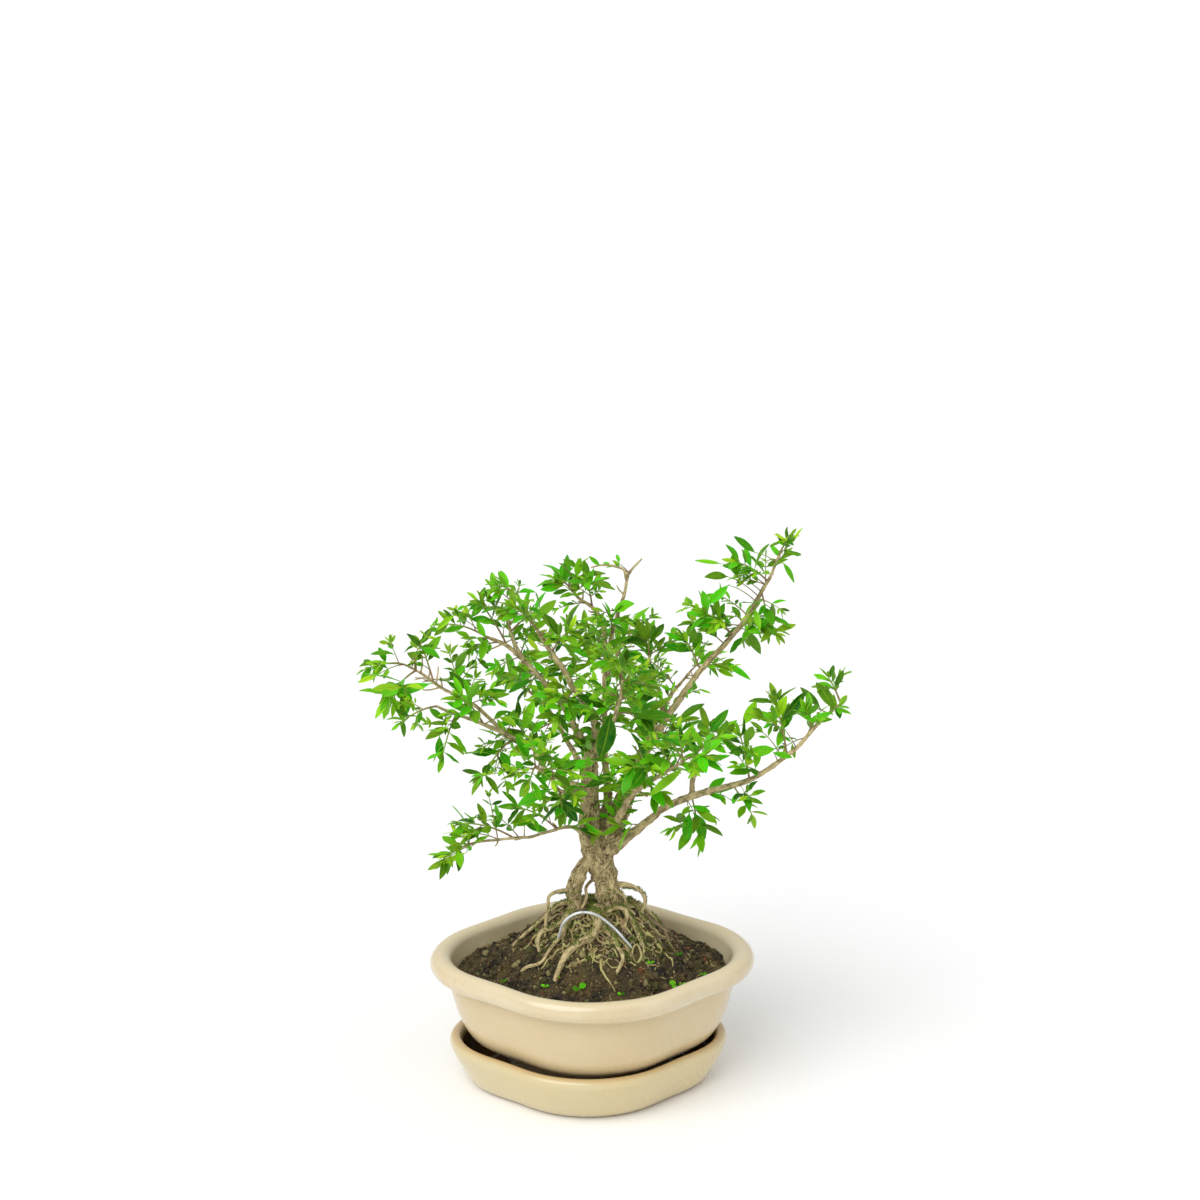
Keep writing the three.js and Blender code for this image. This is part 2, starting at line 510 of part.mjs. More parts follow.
// One leaf closed at its base, to try whether it is clear of its neighbours
function lonelyLeaf(corners, leaf, grow = 0) {
  const points = corners.map((corner) => corner.clone());
  const index = [0, 2, 1, 0, 3, 2];
  growLeaf(points, index, [0, 1, 2, 3], leaf, grow);
  return solidOf(geometryFrom(points, index));
}

// One leaf of a spray. Each further try turns it another way and shortens it a little.
function leafAt(size, corners, heading, place, seed, attempt) {
  const base = corners.reduce((sum, corner) => sum.add(corner), new THREE.Vector3());
  base.divideScalar(corners.length);
  const toNext = corners[1].clone().sub(corners[0]);
  const outward = toNext.cross(corners[3].clone().sub(corners[0])).normalize();
  const draw = (step) => roll(seed + step) - 0.5;
  const step = Math.ceil(attempt / 2) * (attempt % 2 ? 1 : -1);
  const open = THREE.MathUtils.degToRad(place.spread + 26 * draw(1) - 5 * step);
  const turn = THREE.MathUtils.degToRad(40 * draw(2) + 14 * step);
  const leaning = outward.clone().applyAxisAngle(heading, turn);
  const direction = heading.clone().multiplyScalar(Math.cos(open));
  direction.addScaledVector(leaning, Math.sin(open));
  const atTip = place.spread < 10;
  direction.z += atTip ? 0 : LEAF_LIFT;
  direction.normalize();
  const facing = UP.clone().addScaledVector(heading, -0.4);
  facing.x += 0.9 * draw(3);
  facing.y += 0.9 * draw(4) - 0.35;
  const alike = Math.abs(facing.clone().normalize().dot(direction));
  if (alike > 0.85) facing.set(-direction.y, direction.x, 0.4);
  const length = LEAF_LENGTH * size * place.size * (1 + 0.3 * draw(5)) * 0.95 ** attempt;
  return { base, direction, facing, length, droop: 0.06 + 0.16 * roll(seed + 6) };
}

const boxesMeet = (first, second) => [0, 1, 2].every((axis) => (
  first.min[axis] <= second.max[axis] && second.min[axis] <= first.max[axis]));

const meets = (first, second) => boxesMeet(first.boundingBox(), second.boundingBox())
  && first.intersect(second).volume() > 0;

// The shoot of one spray, started just off the bark and bent clear of earlier shoots
function placeShoot(spray, seed, fatWood, placed) {
  let best = null;
  for (const bend of [0, 1, -1, 2, -2]) {
    let start = SHOOT_START;
    let solid = solidOf(skin(shootRings(spray, seed, bend, start)));
    while (start < LATEST_START && meets(solid, fatWood)) {
      start += START_STEP;
      solid = solidOf(skin(shootRings(spray, seed, bend, start)));
    }
    best ??= { spray, seed, bend, start, solid };
    const crossed = meets(solid, fatWood) || placed.some((other) => meets(solid, other.solid));
    if (!crossed) return { spray, seed, bend, start, solid };
  }
  return best;
}

// Whether an edge passes through a triangle, given by the numbers of their points
function pierces(points, from, to, triangle) {
  const [a, b, c] = triangle.map((corner) => points[corner]);
  const reach = points[from].distanceTo(points[to]);
  const ray = new THREE.Ray(points[from], points[to].clone().sub(points[from]).normalize());
  const hit = ray.intersectTriangle(a, b, c, false, new THREE.Vector3());
  return hit !== null && hit.distanceTo(points[from]) <= reach;
}

// Whether two triangles of one skin cross away from the corners that they share
function cross(points, first, second) {
  const box = (triangle) => new THREE.Box3().setFromPoints(triangle.map((corner) => points[corner]));
  if (!box(first).intersectsBox(box(second))) return false;
  return [[first, second], [second, first]].some(([edges, pane]) => [0, 1, 2].some((side) => {
    const from = edges[side];
    const to = edges[(side + 1) % 3];
    return !pane.includes(from) && !pane.includes(to) && pierces(points, from, to, pane);
  }));
}

const trianglesOf = (index) => Array.from({ length: index.length / 3 }, (_, number) => (
  index.slice(number * 3, number * 3 + 3)));

const bothHalves = ([a, b, c, d]) => [a, b, c, a, c, d];

// The faces of a shoot's skin, each with the number of the leaf that should grow from it
function shootFaces(ringCount) {
  const faces = [{ corners: [3, 2, 1, 0], share: 0 }];
  for (let ring = 0; ring < ringCount - 1; ring += 1) {
    for (let side = 0; side < 4; side += 1) {
      const next = (side + 1) % 4;
      const low = ring * 4;
      const leaf = LEAF_PLACES.findIndex((place) => place.ring === ring && place.face === side);
      faces.push({
        corners: [low + side, low + next, low + next + 4, low + side + 4],
        share: LEAF_NODES[Math.max((ring - 1) >> 1, 0)],
        leaf,
      });
    }
  }
  const end = (ringCount - 1) * 4;
  const tip = [end, end + 1, end + 2, end + 3];
  faces.push({ corners: tip, share: 1, leaf: LEAF_PLACES.length - 1 });
  return faces;
}

// Every spray's geometry, each leaf turned clear of the wood and of all other leaves
function sprayGeometries(fatWood) {
  const placed = [];
  SPRAYS.forEach((spray, number) => {
    placed.push({ ...placeShoot(spray, 101 * (number + 1), fatWood, placed), leaves: [] });
  });
  return placed.map((mine) => {
    const points = shootRings(mine.spray, mine.seed, mine.bend, mine.start).flat();
    const curve = shootCurve(mine.spray, mine.bend);
    const faces = shootFaces(points.length / 4);
    const grown = [];
    for (const face of faces.filter(({ leaf }) => leaf >= 0)) {
      const corners = face.corners.map((corner) => points[corner]);
      const heading = curve.getTangent(face.share);
      const others = faces.filter((other) => other !== face);
      const rest = others.flatMap((other) => bothHalves(other.corners));
      const place = LEAF_PLACES[face.leaf];
      const seed = mine.seed + 7 * face.leaf;
      for (let attempt = 0; attempt < MOST_TRIES && !face.grown; attempt += 1) {
        const leaf = leafAt(mine.spray[3], corners, heading, place, seed, attempt);
        const blade = lonelyLeaf(corners, leaf);
        const fat = lonelyLeaf(corners, leaf, CLEARANCE);
        const tryPoints = [...points];
        const index = [];
        growLeaf(tryPoints, index, face.corners, leaf);
        const fresh = trianglesOf(index);
        const around = trianglesOf([...rest, ...grown, ...index]);
        const crossed = fresh.some((first) => (
          around.some((second) => cross(tryPoints, first, second))));
        const touching = (other) => meets(fat, other.solid)
          || other.leaves.some((neighbour) => meets(fat, neighbour));
        const blocked = crossed || meets(blade, fatWood)
          || placed.some((other) => other !== mine && touching(other));
        if (!blocked) {
          mine.leaves.push(blade);
          points.push(...tryPoints.slice(points.length));
          grown.push(...index);
          face.grown = true;
        }
      }
    }
    const bare = faces.filter((face) => !face.grown).flatMap(({ corners }) => bothHalves(corners));
    return geometryFrom(points, [...bare, ...grown]);
  });
}

// The finished group, one named mesh for each piece
const group = new THREE.Group();

function addPiece(name, geometry, color, roughness, metalness = 0) {
  const material = new THREE.MeshStandardMaterial({ color, roughness, metalness });
  const mesh = new THREE.Mesh(geometry, material);
  mesh.name = name;
  group.add(mesh);
}

const fatWood = woodSolid(CLEARANCE);
const fatWire = solidOf(wireGeometry(CLEARANCE));
const soilBody = largestBody(soilSolid().subtract(fatWood).subtract(fatWire));
addPiece('drip_tray', trayGeometry(), 0xd9cda4, 0.25);
addPiece('pot', potGeometry(), 0xe2d0aa, 0.25);
addPiece('soil', geometryOf(soilBody), 0x372d23, 0.95);
addPiece('tree_wood', geometryOf(woodSolid()), 0x968264, 0.9);
addPiece('tie_wire', wireGeometry(), 0xc9cccb, 0.4, 0.8);
sprayGeometries(fatWood).forEach((geometry, number) => {
  const name = `spray_${String(number + 1).padStart(2, '0')}`;
  addPiece(name, geometry, number % 3 ? 0x3c9a2c : 0x5fb436, 0.45);
});

export default group;
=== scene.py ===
"""Dresses the packed serissa bonsai: glazed pot and tray, crumbly soil, bark, tie wire and leafy sprays."""
import math
import random

import bpy
import numpy as np
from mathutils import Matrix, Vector, noise
from mathutils.bvhtree import BVHTree


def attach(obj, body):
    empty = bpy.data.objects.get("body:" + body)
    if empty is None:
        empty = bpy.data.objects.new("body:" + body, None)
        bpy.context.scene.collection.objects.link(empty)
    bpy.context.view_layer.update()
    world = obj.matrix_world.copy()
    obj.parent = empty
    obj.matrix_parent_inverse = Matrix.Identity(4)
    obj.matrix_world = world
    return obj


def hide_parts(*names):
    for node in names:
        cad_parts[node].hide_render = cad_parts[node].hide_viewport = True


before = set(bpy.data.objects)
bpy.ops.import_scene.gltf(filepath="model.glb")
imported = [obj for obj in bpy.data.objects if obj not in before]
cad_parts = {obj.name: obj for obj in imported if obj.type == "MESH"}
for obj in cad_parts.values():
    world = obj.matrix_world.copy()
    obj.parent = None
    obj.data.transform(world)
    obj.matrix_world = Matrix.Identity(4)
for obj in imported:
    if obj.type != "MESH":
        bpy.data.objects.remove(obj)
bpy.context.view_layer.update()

bl_info = {
    "name": "Serissa Bonsai Pieces",
    "version": (1, 0, 0),
    "blender": (4, 5, 0),
    "location": "View3D > Sidebar > Bonsai",
    "description": "Builds the visible pieces of a serissa bonsai round its packed frame",
    "category": "Object",
}

# Lengths below are millimetres, as in the part's source, and MM turns them into metres
MM = 0.001
CLEARANCE = 0.3  # air between neighbouring pieces
UP = np.array([0.0, 0.0, 1.0])

# ---- pot, tray and soil

RIM_HALF_LENGTH, RIM_HALF_DEPTH, RIM_HEIGHT = 79.0, 66.0, 67.0
ROLL_HALF_WIDTH, ROLL_HALF_HEIGHT = 6.0, 5.6
DEPTH_NARROWING = 0.85  # the body draws in this much less to the front and back
POT_UNDERSIDE, POT_FLOOR, TRAY_FLOOR = 7.0, 15.0, 4.0
TRAY_HALF_LENGTH, TRAY_HALF_DEPTH = 59.2, 46.5
TRAY_SHIFT = -2.0  # the pot stands off the tray's middle
SOIL_LEVEL, MOUND_RISE, MOUND_RADIUS, MOUND_CENTRE_X = 61.0, 37.0, 41.0, 3.0

# Sections of pot, tray and soil as (how far out from the rim's or the tray's half sizes, height)
POT_BELLY = ((-36, 7), (-35, 11), (-32, 15.5), (-27, 19.5), (-20.5, 23.5), (-15.5, 27), (-12, 31.5), (-9, 38),
    (-6.2, 47), (-4.4, 56), (-3.8, 61))
POT_INSIDE = ((-6.1, RIM_HEIGHT), (-9.5, 56), (-17, 34), (-27, 24.5), (-37, 16.5))
TRAY_WALL = ((0, 0.0), (3.5, 2.5), (9, 11), (13.2, 20.0), (14.0, 23.0), (13.4, 25.2), (11.4, 26.4),
    (9.2, 26.2), (7.8, 24.2), (6.4, 20.5), (3, 11), (-3, 4.6))
SOIL_EDGE = -8.2
SOIL_WALL = ((-37.35, 16.8), (-27.35, 24.5), (-17.35, 34), (-9.85, 56), (SOIL_EDGE, SOIL_LEVEL - 1))

FEET = ((-22, -14), (22, -14), (-22, 14), (22, 14))
FOOT_RADIUS, FOOT_SUNK = 6, 1.5
DRAINS, DRAIN_RADIUS = (-14, 14), 5

# ---- wood and wire

# Trunk and limbs as (x, y, z, radius), each running from inside what it grows from
LIMBS = {
    "trunk": ((11, 0, 64.5, 9.5), (11, 0, 80.5, 6.8), (9, 0, 96.5, 5.9), (7, 0, 110.5, 5.6),
        (4, 0, 121.5, 6.8), (0, 1, 133, 5.8), (-1, 2, 154.5, 4.4), (-1, 2, 173, 3.9), (1, 1, 181.5, 3.2)),
    "arch_root": ((-12, -8, 75.5, 4.5), (-10.5, -6, 88.5, 3.6), (-9, -5, 98, 3.6), (-9.5, -4, 109, 4.7),
        (-6, -3, 117.5, 3.9), (-2, -2, 121, 3.8), (3, 0, 123, 4.0)),
    "leader": ((-1, 2, 171, 3.7), (2, 0, 190, 2.5), (-2, -4, 205.5, 2.3), (-9, -8, 217, 2.0),
        (-15.5, -10, 229, 1.7), (-24, -12, 242.5, 1.4), (-28, -14, 250, 1.0)),
    "crown_stem": ((4, 6, 133, 4.0), (8.5, 10, 151.5, 2.6), (7.5, 14, 172, 1.8), (7, 16, 198, 1.7),
        (8.5, 16, 227.5, 1.5), (12.5, 14, 245.5, 1.2), (17, 12, 262, 1.0), (19, 10, 272.5, 0.8)),
    "right_up": ((7, 0, 128, 6.0), (14.5, 3, 145, 5.0), (21.5, 8, 163.5, 2.7), (30, 10, 180.5, 2.3),
        (39.5, 12, 195.5, 2.1), (50, 12, 211, 1.8), (60.5, 12, 225, 1.7), (70, 10, 236.5, 1.6),
        (79.5, 8, 249.5, 1.3), (86, 6, 262.5, 1.2), (90.5, 4, 272.5, 0.9), (94, 2, 282.5, 0.7)),
    "right_low": ((7, -2, 128, 5.0), (16.5, -5, 136, 3.2), (27, -10, 146, 2.3), (36, -14, 155.5, 2.1),
        (49.5, -18, 162.5, 2.0), (64, -20, 167.5, 1.8), (78.5, -20, 171.5, 1.6), (93, -18, 180, 1.4),
        (104.5, -16, 189, 1.2), (118.5, -14, 204, 1.0), (125, -12, 208.5, 0.8)),
    "left_low": ((-2, -4, 133, 3.0), (-10, -10, 144, 1.2), (-18.5, -14, 144.5, 1.0), (-32.5, -20, 143, 0.9),
        (-46, -26, 144.5, 0.8), (-58.5, -30, 144.5, 0.7)),
    "left_mid": ((-2, 0, 160.5, 2.7), (-12, -4, 166, 1.8), (-23.5, -8, 174, 1.5), (-31, -12, 188, 1.4),
        (-40, -15, 194, 1.3), (-48.5, -18, 199.5, 1.2), (-59, -20, 204.5, 1.0), (-68.5, -22, 209, 0.9),
        (-78, -24, 214, 0.8)),
    "left_far": ((-44.5, -17, 197, 1.2), (-55, -12, 206.5, 1.1), (-65.5, -8, 213, 1.0), (-73.5, -5, 216, 0.9),
        (-80, -3, 220.5, 0.9), (-88.5, 0, 225.5, 0.7), (-94.5, 2, 228, 0.6)),
    "left_high": ((-1, 5, 177.5, 2.6), (-11.5, 12, 197, 1.8), (-23.5, 18, 212, 1.6), (-32, 22, 221.5, 1.5),
        (-42.5, 26, 230, 1.3), (-54, 28, 235, 0.9)),
    "left_peak": ((-34, 22, 223.5, 1.3), (-39.5, 24, 234, 1.0), (-41.5, 24, 246, 0.9),
        (-37.5, 22, 258.5, 0.7)),
    "top_mid": ((7.5, 16, 225.5, 1.7), (6.5, 18, 241.5, 1.3), (1, 20, 252, 1.1), (-5, 22, 255.5, 0.9),
        (-10.5, 22, 262, 0.7)),
    "front_up": ((1, -1, 182.5, 2.4), (4.5, -16, 194, 1.6), (8.5, -34, 207.5, 1.3), (11, -50, 223.5, 1.0),
        (12, -60, 237.5, 0.7)),
    "front_left": ((-1, 0, 154.5, 2.6), (-9, -18, 164, 1.6), (-17.5, -36, 173, 1.3), (-23.5, -52, 186.5, 1.0),
        (-30, -64, 196, 0.7)),
    "front_right": ((11.5, -3, 141, 3.0), (17.5, -20, 161.5, 1.8), (24, -38, 176, 1.4),
        (33.5, -54, 188.5, 1.1), (41, -66, 198, 0.7)),
    "back_left": ((-1, 4, 164, 2.6), (-9, 22, 174, 1.7), (-17.5, 40, 184.5, 1.4), (-25.5, 56, 191.5, 1.1),
        (-35, 70, 195, 0.7)),
    "back_right": ((9.5, 8, 141, 3.0), (19.5, 26, 158.5, 1.8), (32, 42, 175, 1.5), (43, 56, 190.5, 1.2),
        (55.5, 68, 202, 0.7)),
    "back_top": ((6.5, 16, 197, 1.9), (9.5, 34, 206.5, 1.4), (15.5, 50, 218, 1.1), (24, 62, 227.5, 0.7)),
    "right_mid": ((37.5, 12, 194, 1.8), (35.5, 14, 206.5, 1.1), (31, 16, 218, 0.9), (30, 18, 226.5, 0.7)),
    "right_fill": ((49.5, -18, 162.5, 1.7), (50.5, -14, 170, 1.4), (56, -8, 176, 1.1), (58, -2, 184.5, 0.9)),
    "bare_tip_left": ((18, 11, 268.5, 1.0), (16, 9, 274.5, 0.7), (10.5, 9, 276.5, 0.6), (5.5, 10, 276.5, 0.6),
        (0, 11, 275, 0.5)),
    "bare_tip_right": ((18, 11, 270, 0.8), (22, 10, 275.5, 0.7), (25.5, 10, 279.5, 0.5)),
}

# Surface roots in the same form
ROOTS = {
    "front_root": ((3, -5, 96.5, 3.4), (0, -14, 98.5, 2.8), (1, -20, 98.5, 2.4), (1, -23, 94.5, 2.2),
        (-1, -26, 90.5, 2.1), (-7, -28, 88.5, 1.9), (-13, -31, 84.5, 1.8), (-17, -34, 79.5, 1.6),
        (-20, -36.5, 72.5, 1.3), (-21, -37.5, 64, 1.2)),
    "ring_root": ((9, -3, 94.5, 1.8), (6, -11, 96.5, 1.3), (8, -14, 99.5, 1.2), (12.5, -15, 101.5, 1.1),
        (16.5, -15, 99.5, 1.1), (16.5, -17, 94.5, 1.0), (12, -19, 85.5, 0.9)),
    "thin_left_arch": ((-9, -5, 106.5, 1.4), (-18, -8, 108.5, 1.0), (-22.5, -9, 105.5, 0.9),
        (-23.5, -10, 99.5, 0.8), (-24.5, -11, 92.5, 0.8), (-25, -12, 79.5, 0.8)),
    "right_arch": ((9, -1, 108.5, 2.0), (19.5, -3, 108.5, 1.2), (25.5, -3, 104.5, 1.1),
        (27.5, -3, 100.5, 1.1), (25.5, -4, 94.5, 1.0), (26.5, -5, 83.5, 0.9)),
    "right_prop": ((11, -3, 107.5, 1.5), (16.5, -6, 103.5, 0.9), (17.5, -7, 98.5, 0.8), (21.5, -7, 94.5, 0.8),
        (23.5, -7, 85.5, 0.7)),
    "hole_root": ((6, 2, 109.5, 1.2), (0, 1, 110.5, 0.9), (-3, -1, 107.5, 0.8), (-3, -4, 103.5, 0.8),
        (-7, -8, 96.5, 0.8), (-9, -10, 87.5, 0.8)),
    "right_strand": ((12, -3, 96.5, 2.0), (16.5, -9, 97.5, 1.6), (19.5, -14, 94.5, 1.5),
        (22.5, -19, 89.5, 1.4), (24.5, -23, 84.5, 1.2), (25.5, -26, 75.5, 1.0)),
    "mossy_root": ((7, -5, 96.5, 1.6), (5, -14, 95.5, 1.5), (5, -21, 93.5, 1.4), (9, -25, 90.5, 1.3),
        (14.5, -27, 87.5, 1.2), (18.5, -28, 78.5, 1.0)),
    "left_spread": ((-9, -7, 97.5, 1.8), (-14, -11, 94.5, 1.5), (-20, -13, 90.5, 1.3),
        (-26.5, -12, 87.5, 1.2), (-28.5, -14, 83.5, 1.1), (-26, -18, 73.5, 1.0)),
    "far_strand": ((11, 4, 97.5, 1.8), (22.5, 7, 95.5, 1.2), (30.5, 5, 89.5, 1.1), (35.5, 4, 83.5, 1.0),
        (41.5, 6, 69.5, 0.8)),
    "left_slope": ((-8, -2, 99.5, 1.8), (-16, 2, 97.5, 1.3), (-23, 3, 90.5, 1.2), (-31.5, 2, 83.5, 1.0),
        (-38.5, 4, 76.5, 0.9), (-45.5, 8, 62.5, 0.8)),
    "back_left_root": ((5, 3, 96.5, 2.4), (-2, 14, 95.5, 1.7), (-7, 22, 90.5, 1.4), (-10, 30, 83.5, 1.2),
        (-12, 38, 71.5, 1.0)),
    "back_root": ((9, 3, 96.5, 2.6), (12, 14, 95.5, 1.9), (13, 23, 90.5, 1.6), (17, 31, 84, 1.3),
        (20, 38, 71, 1.0)),
    "back_right_root": ((10, 2, 97.5, 2.0), (19.5, 12, 94.5, 1.5), (25.5, 20, 88.5, 1.2),
        (30.5, 27, 81.5, 1.1), (34.5, 32, 70, 0.9)),
}
# Finer roots that only the scene has, in the same form
SMALL_ROOTS = {
    "hook_root": ((9, -25, 90.5, 1.2), (12, -31, 86.5, 1.1), (14, -35, 82.5, 1.0), (12, -38, 78.5, 1.0),
        (8, -39, 71.5, 0.9)),
    "left_low_root": ((-11, -10, 93.5, 1.3), (-17, -19, 89.5, 1.1), (-22, -24, 83.5, 1.0),
        (-27, -26, 77.5, 1.0), (-34, -24, 73.5, 0.9), (-41, -20, 65.5, 0.8)),
    "back_strand": ((11, 2, 97.5, 1.8), (21, -1, 95.5, 1.3), (26, -6, 91.5, 1.2), (31, -6, 86.5, 1.0),
        (36, -4, 75.5, 0.9)),
    "foot_fork": ((-10, -7, 98.5, 1.8), (-14, -13, 94.5, 1.5), (-15, -18, 91.5, 1.3), (-16, -21, 82.5, 1.1)),
}

# Knot holes and dents in the trunk as (middle, radius, depth)
HOLLOWS = (((15, -5, 142), 3.2, 2.0),)

# Route of the tie wire over the front roots, both ends in the soil
WIRE_RADIUS = 0.75
WIRE_ROUTE = (
    (-19.5, -18, 77), (-19, -19.5, 84), (-17.5, -22.5, 91.5), (-15.5, -25.5, 98.5), (-12, -27, 102.5),
    (-7.5, -27.5, 104.5), (-2.5, -28, 104.5), (2.5, -28.5, 102.5), (7, -29, 99), (11, -29, 95),
    (14.5, -28.5, 90.5), (18, -27, 85.5), (19.5, -25, 82), (20.5, -24.5, 77),
)
# ---- leaves and shoots

LEAF_LENGTH, LEAF_SLIMNESS, BLADE_THICKNESS = 16.5, 0.33, 0.26
FLATTEN = np.array([1.0, 1.0, 0.5])  # leaves stand out level rather than up or down

# Half the width of a blade, as a share of the widest, at shares of its length
LEAF_ALONG = (0.0, 0.07, 0.18, 0.32, 0.48, 0.64, 0.79, 0.92, 1.0)
LEAF_HALF_WIDTH = (0.09, 0.12, 0.48, 0.84, 1.0, 0.95, 0.7, 0.34, 0.0)

# Leafy sprays as (limb, how many of its points along it, tip, size)
SPRAYS = (
    ("left_far", 6, (-112, 4, 226), 0.85), ("left_far", 5, (-102, -12, 215), 1.3),
    ("left_far", 4, (-87, 12, 236), 0.8), ("left_mid", 8, (-95, -30, 208), 0.7),
    ("left_mid", 7, (-75, -36, 193), 0.9), ("left_mid", 5.6, (-66, -30, 220), 1),
    ("left_mid", 4, (-56, -28, 178), 1), ("left_mid", 3, (-39, -2, 198), 1),
    ("left_high", 5, (-74, 34, 240), 0.9), ("left_high", 4, (-57, 32, 252), 0.8),
    ("left_high", 2.4, (-32, 34, 205), 1), ("left_peak", 3, (-47, 24, 263), 0.75),
    ("left_peak", 1.4, (-25, 14, 252), 0.9), ("top_mid", 4, (-15, 26, 265), 0.9),
    ("top_mid", 2, (-2, 12, 268), 0.9), ("crown_stem", 4.6, (10, 6, 250), 0.9),
    ("crown_stem", 3.2, (25, 24, 216), 1.1), ("leader", 6, (-39, -18, 262), 0.9),
    ("leader", 4.6, (-12, -22, 251), 1.1), ("leader", 3, (-18, -20, 206), 1),
    ("leader", 1.4, (17, -14, 212), 1.1), ("front_up", 4, (8, -74, 251), 0.9),
    ("front_up", 2.4, (26, -40, 212), 1.2), ("front_left", 4, (-33, -70, 190), 0.9),
    ("front_left", 2, (-17, -46, 167), 1), ("front_right", 4, (51, -76, 204), 1),
    ("front_right", 2.8, (17, -62, 194), 1.2), ("front_right", 2, (31, -46, 175), 1.1),
    ("left_low", 5, (-76, -34, 137), 1), ("left_low", 3.6, (-66, -26, 153), 0.95),
    ("left_low", 2, (-39, -26, 161), 1), ("right_mid", 3, (30, 20, 235), 0.95),
    ("right_up", 5.6, (48, 14, 236), 0.95), ("right_up", 7.2, (58, 4, 252), 1),
    ("right_up", 8, (80, 26, 233), 1), ("right_up", 9, (89, 0, 246), 1), ("right_up", 9.6, (73, 2, 279), 0.9),
    ("right_up", 11, (99, 2, 292), 0.55), ("right_low", 4, (53, -24, 144), 1.1),
    ("right_low", 6, (73, -24, 196), 1.05), ("right_low", 7.4, (92, -12, 210), 1.2),
    ("right_low", 8.4, (107, -16, 206), 0.8), ("right_low", 10, (119, -8, 221), 0.75),
    ("right_fill", 3, (61, 8, 190), 1), ("back_left", 4, (-39, 84, 198), 1),
    ("back_left", 2, (-36, 38, 173), 1), ("back_right", 4, (66, 82, 204), 1),
    ("back_right", 2, (53, 36, 177), 1), ("back_top", 3, (18, 70, 223), 0.95),
    ("back_top", 1.4, (-8, 44, 217), 1),
)

# Lesser sprays that only the scene has, in the same form
LESSER_SPRAYS = (
    ("left_far", 2, (-72, 4, 233), 0.85), ("left_high", 4.4, (-61, 20, 230), 0.85),
    ("front_up", 3.2, (-7, -60, 232), 0.9), ("front_left", 2.6, (-23, -60, 202), 0.9),
    ("right_low", 5.4, (79, -28, 156), 1), ("crown_stem", 4.2, (-5, 24, 233), 0.9),
    ("back_left", 2.6, (-16, 52, 194), 0.9), ("back_right", 2.6, (28, 56, 182), 0.9),
    ("back_right", 3.4, (30, 74, 210), 0.9), ("back_left", 3.2, (-46, 58, 208), 0.9),
    ("back_top", 2.2, (34, 52, 238), 0.85), ("back_left", 1.4, (-2, 44, 168), 0.9),
    ("back_right", 1.6, (44, 30, 196), 0.9), ("left_high", 3.4, (-30, 40, 238), 0.9),
    ("back_top", 1.8, (-8, 60, 232), 0.85), ("trunk", 6.4, (-17, 16, 150), 0.8),
    ("trunk", 5.4, (8, 26, 168), 0.8), ("front_right", 3.4, (26, -70, 208), 0.9),
    ("front_left", 3.4, (-40, -52, 200), 0.9), ("front_up", 3.6, (26, -62, 238), 0.85),
)

